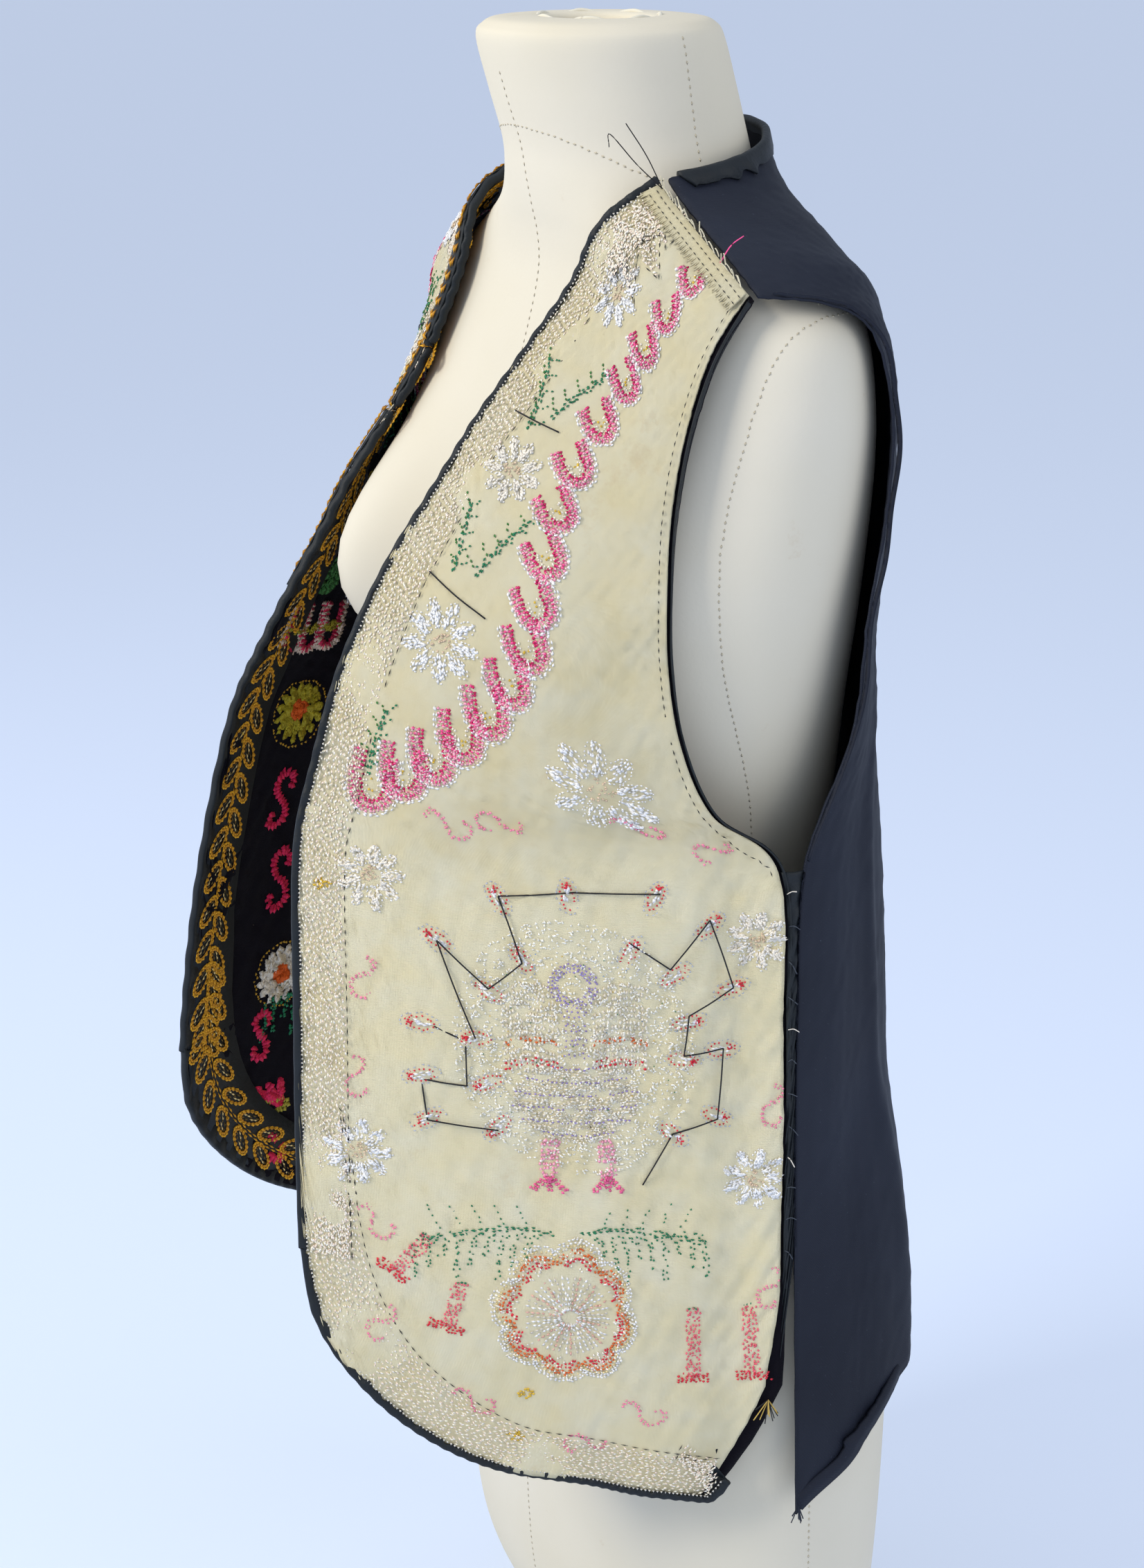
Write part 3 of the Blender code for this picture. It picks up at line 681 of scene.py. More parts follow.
def strip_piece(name, surface, path, outline, finish, node, wave=None, rise=None):
    """A closed strip: at each place of the path, one closed outline of (in, off) pairs."""
    path = np.asarray(path, float)
    turn, way = inward(surface, path)
    rings = []
    for inside, off in outline:
        depth = np.full(len(path), inside)
        if wave is not None and inside > 0.001:
            depth = depth * wave(np.arange(len(path)))
        on = path + turn * np.maximum(depth, 0)[:, None]
        lift = off + (rise(np.arange(len(path))) if rise is not None else 0.0)
        spot = surface.at(on[:, 0], on[:, 1], np.broadcast_to(lift, len(path)))
        rings.append(spot + way * np.minimum(depth, 0)[:, None])
    rings = np.stack(rings, 1)
    tall, wide = rings.shape[:2]
    faces = tube_faces(tall, wide)
    uv = np.stack(np.meshgrid(np.linspace(0, 1, wide) * 2, np.arange(tall) * 0.3), -1)
    made = piece(name, rings, faces, finish, uv)
    if node:
        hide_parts(*node)
    return made


def rounded(inner, outer, low, high, reach):
    """The outline of a binding: flat legs joined by a round turn that stands reach past the edge."""
    middle, half = (low + high) / 2, (high - low) / 2 + 0.0002
    turn = [(-reach * sin(a) + 0.0, middle - half * cos(a)) for a in np.linspace(0, pi, 9)]
    return [(inner, low)] + turn + [(outer, high + 0.0002), (outer * 0.97, high - 0.0009)] + \
        [(0.0005, middle + 0.0008), (0.0005, middle - 0.0008), (inner * 0.98, low + 0.0008)]


def profile(ins, low, high):
    """The outline of a flat strip: its low and its high face at each distance in from the edge."""
    return list(zip(ins, low)) + list(zip(ins, high))[::-1]


def front_edge(start=0.04, end=0.9):
    """The path down a front's edge and round its hem."""
    down = [(0.0, v) for v in np.linspace(start, hem_place(0.0), 60)]
    hem = [(u, hem_place(u)) for u in np.linspace(0, end, 60)[1:]]
    return dense(down + hem, 0.03)


trims = {"left": [], "right": [], "back": []}
scallop = lambda k: 1 + 0.20 * np.sin(k * 0.9) + 0.12 * np.sin(k * 0.31 + 1)
for name, surface in (("left", left), ("right", right)):
    path = front_edge()
    lip = strip_piece(f"edge_binding_{name}", surface, path,
                      rounded(0.005, 0.0030, -0.0022, 0.0020, 0.0014), binding,
                      [f"border_band_{name}"], scallop,
                      lambda k: 0.0004 * np.sin(k * 0.7))
    flat = profile((0.029, 0.015, 0.002), (-0.0022, -0.0021, -0.0022), (-0.0015, -0.0015, -0.0015))
    band = strip_piece(f"satin_band_{name}", surface, path, flat, binding, [])
    trims[name] += [lip, band]

top = [(u, 0.04) for u in np.linspace(0.97, 0.06, 60)]
for name, surface in (("left", left), ("right", right)):
    flat = profile((0.010, 0.005, 0.0), (0.0022, 0.0021, 0.0022), (0.0030, 0.0032, 0.0030))
    trims[name].append(strip_piece(
        f"shoulder_raw_edge_{name}", surface, dense(top), flat, cotton,
        [f"shoulder_allowance_{name}"],
        lambda k: 1 + 0.14 * np.sin(k * 1.1) + 0.1 * np.sin(k * 0.37)))
    armhole = [(1.0, v) for v in np.linspace(0.1, 10.9, 200)]
    trims[name].append(strip_piece(
        f"armhole_piping_{name}", surface, armhole,
        rounded(0.0035, 0.0030, -0.0018, 0.0017, 0.0012), binding, [],
        lambda k: 1 + 0.12 * np.sin(k * 0.9)))
print("front trims:", sum(len(o.data.polygons) for t in trims.values() for o in t), "faces")

# %% [markdown]
# The back is finished more simply than the fronts: a turned hem, a bias strip round each armhole,
# and a rolled binding at the neck. The side allowances are left raw, as they are on the inside of
# most home-made garments.

# %% The back's hems and binding
sections = float(len(BACK_SECTIONS))
flat = profile((0.009, 0.0045, -0.0005), (0.0008, 0.0009, 0.0008), (0.0022, 0.0028, 0.0024))
hem_path = [(u, sections) for u in np.linspace(0.985, -0.985, 160)]
trims["back"].append(strip_piece(
    "turned_hem", back_side, hem_path, flat, sateen, ["back_hem"],
    lambda k: 1 + 0.05 * np.sin(k * 0.5)))
neck_path = [(u, 0.04) for u in np.linspace(-0.40, 0.40, 90)]
trims["back"].append(strip_piece(
    "rolled_neck_binding", back_side, neck_path,
    rounded(0.004, 0.0068, -0.0020, 0.0020, 0.0026), binding, ["neck_binding"],
    lambda k: 1 + 0.07 * np.sin(k * 0.8), lambda k: 0.0003 * np.sin(k * 0.6)))
for name, side in (("left", 1), ("right", -1)):
    rows = np.linspace(0.3, 6.95, 110)
    path = [(side * 1.0, v) for v in (rows[::-1] if side > 0 else rows)]
    bias = profile((0.0085, 0.004, -0.001), (0.0008, 0.0009, 0.0007), (0.0022, 0.0031, 0.0024))
    trims["back"].append(strip_piece(
        f"armhole_bias_{name}", back_side, path, bias, sateen, [f"armhole_hem_{name}"],
        lambda k: 1 + 0.06 * np.sin(k * 0.4), lambda k: 0.0006 * (1 + np.sin(k * 0.35))))
    rows = np.linspace(7.05, 9.65, 90)
    path = [(side * 1.0, v) for v in (rows[::-1] if side > 0 else rows)]
    raw = profile((0.0075, 0.004, 0.0), (0.0009, 0.0010, 0.0009), (0.0020, 0.0026, 0.0022))
    trims["back"].append(strip_piece(
        f"side_raw_edge_{name}", back_side, path, raw, sateen,
        [f"side_allowance_{name}"],
        lambda k: 1 + 0.18 * np.sin(k * 0.45) + 0.1 * np.sin(k * 1.3)))
print("back trims:", len(trims["back"]))


# %% [markdown]
# A side seam joins two raw edges. Seen from the wrong side it is a dark, uneven ridge that runs from
# the armhole down to the top of the slit.

# %% The side seams
def seam_piece(name, surface, side):
    """The raw double edge that joins a front to the back, from the armhole down to the slit."""
    share = np.linspace(0, 1, 120)
    fore = surface.at(np.full(120, 0.992), 8.02 + share * 3.5, 0.0006 + 0.0004 * np.sin(share * 90))
    lift = 0.0006 + 0.0003 * np.sin(share * 70)
    aft = back_side.at(np.full(120, side * 0.992), 7.02 + share * 2.55, lift)
    out = surface.look(surface.normals, np.full(120, 0.99), 8.02 + share * 3.5)
    rings = []
    for t in (0.0, 0.25, 0.5, 0.75, 1.0):
        bulge = 0.0016 * sin(pi * t) * (1 + 0.5 * np.sin(share * 110 + t * 3))
        rings.append(fore * (1 - t) + aft * t + out * bulge[:, None])
    rings += [ring - out * 0.0012 for ring in rings[::-1]]
    rings = np.stack(rings, 1)
    tall, wide = rings.shape[:2]
    index = np.arange(tall * wide).reshape(tall, wide)
    beside = np.roll(index, -1, axis=1)
    faces = np.stack([index[:-1], beside[:-1], beside[1:], index[1:]], -1).reshape(-1, 4)
    if side < 0:
        faces = faces[:, ::-1]
    faces = faces.tolist() + [index[0, ::side * -1].tolist(), index[-1, ::side].tolist()]
    return piece(name, rings, faces, binding)


for name, surface, side in (("left", left, 1), ("right", right, -1)):
    trims[name].append(seam_piece(f"side_seam_{name}", surface, side))

# %% [markdown]
# ## The dress form
# The form is padded and covered with ivory jersey. Its skin is the same loft as the solid, with
# closer rings, and its seams are lines of small stitches.

# %% The form's skin
levels = [Vector(level) for level in FORM_LEVELS]
sides = 168
per = 6
rings = [form_ring(through(levels, k / per), sides) for k in range((len(levels) - 1) * per + 1)]
points = np.array([[tuple(p) for p in ring] for ring in rings])
faces = tube_faces(len(rings), sides)
skin = piece("form_cover", points, faces, jersey)
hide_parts("dress_form")
form_tree = BVHTree.FromPolygons([Vector(p) for p in points.reshape(-1, 3)], faces)
print("form:", len(faces), "faces")


# %% [markdown]
# ## Thread
# One stitch is a wedge of thread: its ends dip into the cloth and its middle rises. Thousands of
# wedges are written as one mesh, each with its own place, direction, facing, size and dye.

# %% Laying stitches
def lay_stitches(name, where, run, face, size, dye, slot):
    """One joined mesh of stitches: place, direction, facing, half sizes and dye of each."""
    where, run, face, size = (np.asarray(a, float) for a in (where, run, face, size))
    across = np.cross(face, run)
    across /= np.linalg.norm(across, axis=1, keepdims=True) + 1e-9
    long, wide, high = run * size[:, :1], across * size[:, 1:2], face * size[:, 2:3]
    points = np.stack([where - long, where + long, where - wide + high, where + wide + high], 1)
    corners = np.array([(0, 2, 3), (1, 3, 2), (0, 3, 1), (0, 1, 2)])
    faces = (np.arange(len(where)) * 4)[:, None, None] + corners
    made = piece(name, points, faces.reshape(-1, 3).tolist(), thread)
    full = np.repeat(np.concatenate([dye, np.ones((len(dye), 1))], 1), 4, axis=0)
    made.data.attributes.new("dye", "FLOAT_COLOR", "POINT").data.foreach_set(
        "color", full.astype(np.float32).ravel())
    return made


# %% [markdown]
# ## The embroidery design
# The design is drawn afresh on the left front, in centimetres around each motif's middle: a chain
# of tulip cups down from the shoulder, a fan-tailed bird in a ring of feather eyes, a rose between
# trumpet flowers, with daisies, sprigs and scrolls. The right front mirrors it. Each stitch is
# (u, v, x, y, direction, length, width, dye): the motif's place, then the stitch's own in cm.

# %% Colours of the threads
PINK, ROSE, RED = (0.98, 0.10, 0.32), (1.0, 0.42, 0.56), (0.80, 0.03, 0.06)
ORANGE, YELLOW = (0.83, 0.16, 0.03), (0.78, 0.52, 0.06)
GREEN, LEAF, OLIVE = (0.02, 0.22, 0.10), (0.06, 0.22, 0.05), (0.40, 0.33, 0.03)
VIOLET, WHITE, CREAM = (0.36, 0.28, 0.62), (0.97, 0.96, 0.95), (0.95, 0.88, 0.76)
BLACK, SHADE = (0.012, 0.012, 0.014), (0.74, 0.68, 0.60)
GREY_GOLD = (0.84, 0.75, 0.60)

print("pink as the room sees it:", np.round(np.array(PINK) ** (1 / 2.2), 2).tolist())

# %% [markdown]
# A design is a growing list of stitches. It knows a line of dashes, a ring, a filled oval and a
# ring of petals. On the reverse the dashes stand apart, because most of each stitch is on the
# other side. On the face they touch.

# %% Ways of stitching
class Design:
    """Stitches on a front. On the reverse they are broken and pale, on the face dense and full."""

    def __init__(self, face, seed=5):
        self.face, self.rows, self.chance = face, [], np.random.default_rng(seed)

    def sew(self, u, v, x, y, turn, length, width, dye):
        """Stitches around the motif at (u, v), at x cm across and y cm down from its middle."""
        x, y, turn = np.atleast_1d(x), np.atleast_1d(y), np.atleast_1d(turn)
        tone = self.chance.uniform(0.8, 1.12, len(x))
        for a, b, c, d in zip(x, y, np.broadcast_to(turn, x.shape), tone):
            self.rows.append((u, v, a, b, c, length, width, *(np.array(dye) * d)))

    def line(self, u, v, points, dye, length=0.24, gap=0.12, width=0.05, wobble=0.03,
             rows=1, apart=0.12):
        """Dashes along a smooth line through points."""
        if self.face:
            gap, width, length = gap * 0.12, width * 1.7, length * 1.25
        points = [Vector(p) for p in points]
        fine_line = np.array([tuple(through(points, t)) for t in np.linspace(0, len(points) - 1, 60)])
        run = np.diff(fine_line, axis=0)
        along = np.concatenate([[0], np.cumsum(np.linalg.norm(run, axis=1))])
        for r in range(rows):
            shift = (r - (rows - 1) / 2) * apart
            spots = np.arange(length / 2 + self.chance.uniform(0, gap), along[-1], length + gap)
            x = np.interp(spots, along, fine_line[:, 0])
            y = np.interp(spots, along, fine_line[:, 1])
            turn = np.arctan2(*(np.interp(spots, along[1:], run[:, axis]) for axis in (1, 0)))
            x, y = x - np.sin(turn) * shift, y + np.cos(turn) * shift
            x = x + self.chance.normal(0, wobble, len(x))
            y = y + self.chance.normal(0, wobble, len(x))
            self.sew(u, v, x, y, turn + self.chance.normal(0, 0.12, len(x)), length, width, dye)

    def ring(self, u, v, x, y, rx, ry, dye, turn=0.0, **more):
        """Dashes round an oval."""
        angles = np.linspace(0, 2 * pi, 17)
        c, s = cos(turn), sin(turn)
        spots = [(x + rx * cos(a) * c - ry * sin(a) * s, y + rx * cos(a) * s + ry * sin(a) * c)
                 for a in angles]
        self.line(u, v, spots, dye, **more)

    def fill(self, u, v, x, y, rx, ry, dye, turn=0.0, count=60, length=0.28, width=0.05, lean=0.15):
        """Stitches scattered over an oval, all nearly one way."""
        count = int(count * (1.8 if self.face else 1) * (1))
        r = np.sqrt(self.chance.uniform(0, 1, count))
        a = self.chance.uniform(0, 2 * pi, count)
        px, py = rx * r * np.cos(a), ry * r * np.sin(a)
        c, s = cos(turn), sin(turn)
        self.sew(u, v, x + px * c - py * s, y + px * s + py * c,
                 turn + self.chance.normal(0, lean, count), length,
                 width * (1.6 if self.face else 1), dye)

    def petals(self, u, v, x, y, inner, outer, n, dye, dye2, rows):
        """A ring of petals: rays of dashes between two radii, outlined in a second dye."""
        for k in range(n):
            a = 2 * pi * k / n
            mid, half = (inner + outer) / 2, (outer - inner) / 2
            px, py = x + mid * cos(a), y + mid * sin(a)
            self.fill(u, v, px, py, half, mid * pi / n * 0.62, dye, a, 9 * rows, 0.26, 0.05)
            self.ring(u, v, px, py, half * 1.1, mid * pi / n * 0.8, dye2, a,
                      length=0.14, gap=0.10, width=0.035)


def sewn(motif):
    """How many stitches a motif takes on the reverse, from a trial piece."""
    trial = Design(False)
    motif(trial)
    return len(trial.rows)

# %% [markdown]
# The largest motif runs from the shoulder down past the armhole and across to the front edge: a
# chain of tulip cups, each a few rows of chain stitch round a small eye, edged in white.

# %% The tulip chain
def tulip_chain(d):
    chain = [(0.66, 0.45), (0.66, 0.95), (0.64, 1.45), (0.61, 1.95), (0.58, 2.5), (0.57, 3.05),
             (0.58, 3.6), (0.60, 4.15), (0.61, 4.7), (0.60, 5.2), (0.55, 5.65), (0.48, 6.05),
             (0.40, 6.4), (0.32, 6.7), (0.24, 6.95), (0.16, 7.15)]
    turns = [-2.5] * 5 + [-2.45, -2.4, -2.3, -2.2, -2.0, -1.85, -1.75, -1.65, -1.6, -1.55, -1.5]
    for k, ((u, v), t) in enumerate(zip(chain, turns)):
        big, c, s = 0.66 + 0.026 * k, cos(t), sin(t)

        def cup(r, reach, pull=0.0):
            low = [(reach, -r), (0.2, -r), (-0.62 * r, -0.72 * r)]
            spots = low + [(-r, 0.0)] + [(x, -y) for x, y in low[::-1]]
            return [(((x + pull) * c - y * s) * big, ((x + pull) * s + y * c) * big)
                    for x, y in spots]

        d.line(u, v, cup(1.28, 1.5), WHITE, 0.2, 0.06, 0.04, 0.03, rows=2, apart=0.07)
        for r, dye in ((0.54, (0.70, 0.02, 0.14)), (0.68, PINK), (0.82, ROSE), (0.96, PINK),
                       (1.10, ROSE)):
            d.line(u, v, cup(r, 1.5), dye, 0.15, 0.045, 0.065, 0.03)
            if not d.face and r > 0.6:
                d.line(u, v, cup(r + 0.07, 1.4), (0.88, 0.66, 0.62), 0.13, 0.10, 0.04, 0.04)
        d.line(u, v, cup(0.34, 0.7, -0.1), CREAM, 0.14, 0.08, 0.04, 0.03, rows=2, apart=0.12)
        eye, count = (OLIVE, 22) if d.face else (YELLOW, 3)
        d.fill(u, v, 0.1 * c, 0.1 * s, 0.3 * big, 0.25 * big, eye, t, count, 0.12)


print("tulip chain:", sewn(tulip_chain), "stitches")

# %% [markdown]
# The bird sits in the middle of the front. Its head and neck are violet rings, its wings are long
# upright stitches with bands of orange and red, and its tail is a fan of level rows. On the reverse
# the thread ends make a pale haze all round it.

# %% The bird
def bird(d):
    u, v = 0.56, 9.15
    d.ring(u, v, 0, -3.1, 0.95, 0.85, VIOLET, length=0.12, gap=0.08, width=0.045, rows=4, apart=0.13)
    for k in range(12):
        d.line(u, v, [(-0.62, -2.1 + k * 0.24), (0.62, -2.1 + k * 0.24)], VIOLET if k % 3 else SHADE,
               0.11, 0.12, 0.045, 0.05)
    for side in (-1, 1):
        for k in range(15):
            x = side * (0.85 + k * 0.185)
            drop = 0.35 * sin(pi * k / 14)
            dye = GREY_GOLD if k % 2 else (0.92, 0.86, 0.74)
            d.line(u, v, [(x, -2.9 - drop), (x, 1.1 + drop)], dye, 0.24, 0.05, 0.05, 0.03)
        for y, dye in ((-0.35, ORANGE), (-0.2, ORANGE), (0.75, RED), (1.0, RED)):
            stripe = [(side * 0.8, y), (side * 2.2, y - 0.12), (side * 3.4, y + 0.15)]
            d.line(u, v, stripe, dye, 0.16, 0.09, 0.055, 0.05)
    for k in range(17):
        y = 0.9 + k * 0.24
        half = 3.15 * sin(pi * (k + 1.5) / 19) ** 0.6
        dye = (VIOLET, GREY_GOLD, SHADE)[k % 3]
        d.line(u, v, [(-half, y), (0, y + 0.25), (half, y)], dye, 0.14, 0.09, 0.04, 0.03)
        d.line(u, v, [(-half, y + 0.1), (0, y + 0.35), (half, y + 0.1)], (0.90, 0.82, 0.66),
               0.2, 0.06, 0.05, 0.03)
    for side in (-1, 1):
        leg = [(side * 1.3, 4.9), (side * 1.45, 6.0), (side * 1.5, 6.9)]
        d.line(u, v, leg, ROSE, 0.2, 0.05, 0.06, 0.04, rows=6, apart=0.15)
        for toe in (-0.8, 0.0, 0.8):
            d.line(u, v, [leg[2], (leg[2][0] + toe, 7.7)], (0.94, 0.16, 0.36),
                   0.18, 0.05, 0.06, 0.03, rows=3, apart=0.12)
    if not d.face:
        d.fill(u, v, 0, 0.3, 6.6, 5.8, (0.99, 0.96, 0.86), 1.2, 2600, 0.17, 0.035, 1.4)
        for k in range(90):
            a = k * 2.4
            d.fill(u, v, 5.6 * cos(a) * (k / 90) ** 0.4, 4.9 * sin(a) * (k / 90) ** 0.4, 0.2, 0.2,
                   (GREEN, YELLOW, (0.3, 0.45, 0.7))[k % 3], a, 1, 0.06, 0.035)


print("bird:", sewn(bird), "stitches")

# %% [markdown]
# A ring of feather eyes surrounds the bird. Each points away from it, and has a red outline with a
# single bright stitch at its tip.

# %% The feather eyes
def feather_eyes(d):
    outer = [(0.29, 8.5), (0.25, 9.0), (0.25, 9.35), (0.26, 9.65)]
    inner = [(0.46, 8.6), (0.39, 8.8), (0.36, 9.1), (0.38, 9.4), (0.40, 9.7)]
    far = [(0.83, 8.4), (0.88, 8.8), (0.86, 9.2), (0.85, 9.65)]
    near = [(0.67, 8.55), (0.76, 8.7), (0.79, 9.0), (0.78, 9.25), (0.76, 9.75)]
    tops = [(0.42, 8.22), (0.56, 8.18), (0.72, 8.2)]
    for a, b in outer + inner + far + near + tops:
        x, y = (a - 0.56) * 24, (b - 9.15) * 7.4
        t = np.arctan2(y, x)
        d.ring(a, b, 0, 0, 0.72, 0.30, RED, t, length=0.10, gap=0.12, width=0.045)
        d.ring(a, b, 0, 0, 0.95, 0.48, (0.55, 0.58, 0.66), t, length=0.14, gap=0.12, width=0.03)
        d.fill(a, b, 0, 0, 0.5, 0.18, WHITE if not d.face else YELLOW, t, 10)
        d.fill(a, b, 0.45 * cos(t), 0.45 * sin(t), 0.16, 0.12, RED, t, 8, 0.12)


print("feather eyes:", sewn(feather_eyes), "stitches")

# %% [markdown]
# The rose is worked from the middle out: rays of white, then petals as nested arcs that pass from
# red to orange to white.

# %% The rose
def rose(d):
    u, v = 0.53, 11.1
    for k in range(44):
        a = 2 * pi * k / 44
        d.line(u, v, [(0.35 * cos(a), 0.35 * sin(a)), (2.2 * cos(a), 2.2 * sin(a))],
               (WHITE, (0.80, 0.74, 0.64), (0.84, 0.50, 0.40))[k % 3 if k % 4 else 0],
               0.22, 0.05, 0.045, 0.03)
    for k in range(8):
        a = 2 * pi * k / 8 + 0.2
        x, y = 2.35 * cos(a), 2.35 * sin(a)
        for r, dye in ((0.62, RED), (0.76, RED), (0.98, ORANGE), (1.12, ORANGE),
                       (1.3, (0.86, 0.70, 0.36)), (1.46, WHITE), (1.6, WHITE)):
            arc = [(x + r * cos(a + w), y + r * sin(a + w)) for w in (-1.35, -0.7, 0, 0.7, 1.35)]
            d.line(u, v, arc, dye, 0.16, 0.06, 0.05, 0.03)
        d.fill(u, v, x + 0.9 * cos(a), y + 0.9 * sin(a), 0.8, 0.9, (0.97, 0.92, 0.80), a,
               40, 0.18, 0.04)


print("rose:", sewn(rose), "stitches")

# %% [markdown]
# Two fern branches spread over the rose. Trumpet flowers hang below them, their lips flared.

# %% Branches and trumpet flowers
def branches(d):
    u, v = 0.53, 11.1
    for side in (-1, 1):
        stem = [(side * 0.6, -4.1), (side * 2.6, -4.3), (side * 5.0, -4.1), (side * 7.2, -3.6)]
        d.line(u, v, stem, GREEN, 0.2, 0.12, 0.045, 0.04, rows=2)
        for k in range(9):
            x = 1.4 + k * 0.68
            tip = (side * (x + 0.7), -2.9 + (k % 3) * 0.5)
            frond = [(side * x, -4.1), (side * (x + 0.5), -3.6), tip]
            d.line(u, v, frond, GREEN, 0.13, 0.14, 0.045, 0.06, rows=2)
        for k in range(5):
            x = 1.8 + k * 1.1
            d.line(u, v, [(side * x, -4.2), (side * (x + 0.6), -5.3)], GREEN, 0.12, 0.16, 0.04, 0.05)


def trumpets(d):
    for a, b, t, long in ((0.22, 10.62, 2.3, 2.6), (0.30, 11.02, 1.9, 2.6), (0.81, 11.35, 1.57, 3.9),
                          (0.93, 11.35, 1.5, 3.9)):
        c, s = cos(t), sin(t)
        d.line(a, b, [(-long / 2 * c, -long / 2 * s), (long / 2 * c, long / 2 * s)], (0.92, 0.16, 0.22),
               0.14, 0.07, 0.05, 0.05, rows=5, apart=0.15)
        for w in (-1, 1):
            lip = [(long / 2 * c, long / 2 * s),
                   (long / 2 * c - w * 0.9 * s + 0.3 * c, long / 2 * s + w * 0.9 * c)]
            d.line(a, b, lip, RED, 0.14, 0.07, 0.05, 0.04, rows=4, apart=0.13)
        collar = [(-long / 2 * c - 0.3, -long / 2 * s), (-long / 2 * c + 0.3, -long / 2 * s)]
        d.line(a, b, collar, GREEN, 0.14, 0.05, 0.05)


print("branches and trumpets:", sewn(branches) + sewn(trumpets), "stitches")

# %% [markdown]
# The gaps are filled with smaller things, as in most folk work: daisies and sprigs of leaves.

# %% Daisies and sprigs
def daisies(d):
    for a, b, r, dye in ((0.33, 1.2, 1.5, WHITE), (0.33, 3.4, 1.5, CREAM), (0.30, 5.4, 1.9, WHITE),
                         (0.16, 8.1, 1.6, CREAM), (0.74, 6.75, 2.6, WHITE), (0.12, 9.9, 1.7, WHITE),
                         (0.93, 8.5, 1.5, CREAM), (0.93, 10.1, 1.6, WHITE)):
        petal = dye if not d.face or r > 2 else OLIVE
        d.petals(a, b, 0, 0, r * 0.35, r, 9, petal, WHITE if not d.face else YELLOW, 4)
        middle = ORANGE if d.face else (0.80, 0.62, 0.45)
        d.fill(a, b, 0, 0, r * 0.28, r * 0.28, middle, 0.0, 26, 0.12, 0.05, 2)


def sprigs(d):
    for a, b, lean in ((0.25, 2.6, -0.4), (0.42, 2.35, 0.5), (0.25, 4.3, -0.2), (0.42, 4.2, 0.6),
                       (0.16, 6.6, 0.2)):
        stem = [(-lean * 1.2, 1.8), (0, 0), (lean * 1.6, -1.6)]
        d.line(a, b, stem, GREEN, 0.18, 0.10, 0.045, 0.04, rows=2)
        for k in range(5):
            y = 1.4 - k * 0.7
            for w in (-1, 1):
                leaf = [(-lean * y, y), (-lean * y + w * 0.55, y - 0.45)]
                d.line(a, b, leaf, GREEN if w > 0 else LEAF, 0.15, 0.08, 0.045, 0.04)


print("daisies and sprigs:", sewn(daisies) + sewn(sprigs), "stitches")

# %% [markdown]
# Beside the band runs a column of bold flowers. It shows on the face only, where the far front
# hangs open, so it is worked solid there. Pink scrolls fill what room is left.

# %% The flowers beside the band, and the scrolls
def bold_motifs(d):
    """The column of flowers just inside the band, which shows where the far front hangs open."""
    d.rows = [row for row in d.rows if row[0] > 0.37 or row[1] < 6.2]
    gold, crimson, flesh = (0.62, 0.34, 0.03), (0.86, 0.02, 0.10), (0.85, 0.66, 0.52)
    for x in (-1.5, 0.0, 1.5):
        for r, dye in ((1.0, flesh), (0.84, flesh), (0.66, crimson), (0.5, (0.45, 0.01, 0.05))):
            bowl = [(x - r, -1.4), (x - r, 0.4), (x - r * 0.6, 0.95 + r * 0.3),
                    (x, 1.1 + r * 0.4),
                    (x + r * 0.6, 0.95 + r * 0.3), (x + r, 0.4), (x + r, -1.4)]
            d.line(0.21, 6.95, bowl, dye, 0.2, 0.02, 0.07, 0.02, rows=2)
        d.fill(0.21, 6.95, x, 0.0, 0.26, 1.0, (0.42, 0.34, 0.02), 1.57, 40, 0.2, 0.06)
    for x, lean in ((-0.6, -0.9), (0.2, 0.2), (1.0, 1.0)):
        d.fill(0.21, 6.5, x, -1.4, 1.5, 0.34, LEAF, -1.57 + lean * 0.4, 70, 0.3, 0.07)
    for a, b, petal in ((0.23, 8.1, (0.50, 0.40, 0.02)), (0.27, 10.2, (0.85, 0.76, 0.62))):
        for k in range(15):
            t = 2 * pi * k / 15
            d.fill(a, b, 1.08 * cos(t), 1.08 * sin(t), 0.52, 0.2, petal, t, 16, 0.3, 0.07)
        d.fill(a, b, 0, 0, 0.52, 0.52, (0.86, 0.13, 0.01), 0.5, 60, 0.22, 0.07, 1.0)
        d.ring(a, b, 0, 0, 1.85, 1.85, gold, length=0.12, gap=0.8, width=0.03)
    for a, b, size in ((0.22, 8.78, 1.0), (0.25, 9.42, 1.05), (0.22, 10.72, 0.85), (0.24, 11.9, 0.8)):
        curl = [(0.5, -0.75), (0.65, -1.3), (0.1, -1.7), (-0.45, -1.2), (-0.3, -0.5), (0.35, 0.2),
                (0.45, 0.9), (-0.05, 1.4), (-0.65, 1.15), (-0.5, 0.6)]
        curl = [(x * size, y * size) for x, y in curl]
        d.line(a, b, curl, crimson, 0.2, 0.02, 0.08, 0.02, rows=3, apart=0.09)
    for w in (-0.5, 0.0, 0.5):
        d.fill(0.25, 11.3, w, 0.2, 0.85, 0.2, crimson, 1.2 + w * 0.8, 36, 0.25, 0.07)
    d.ring(0.25, 11.3, 0, 0.9, 0.95, 0.35, (0.50, 0.42, 0.05), length=0.2, gap=0.02, width=0.06, rows=2)


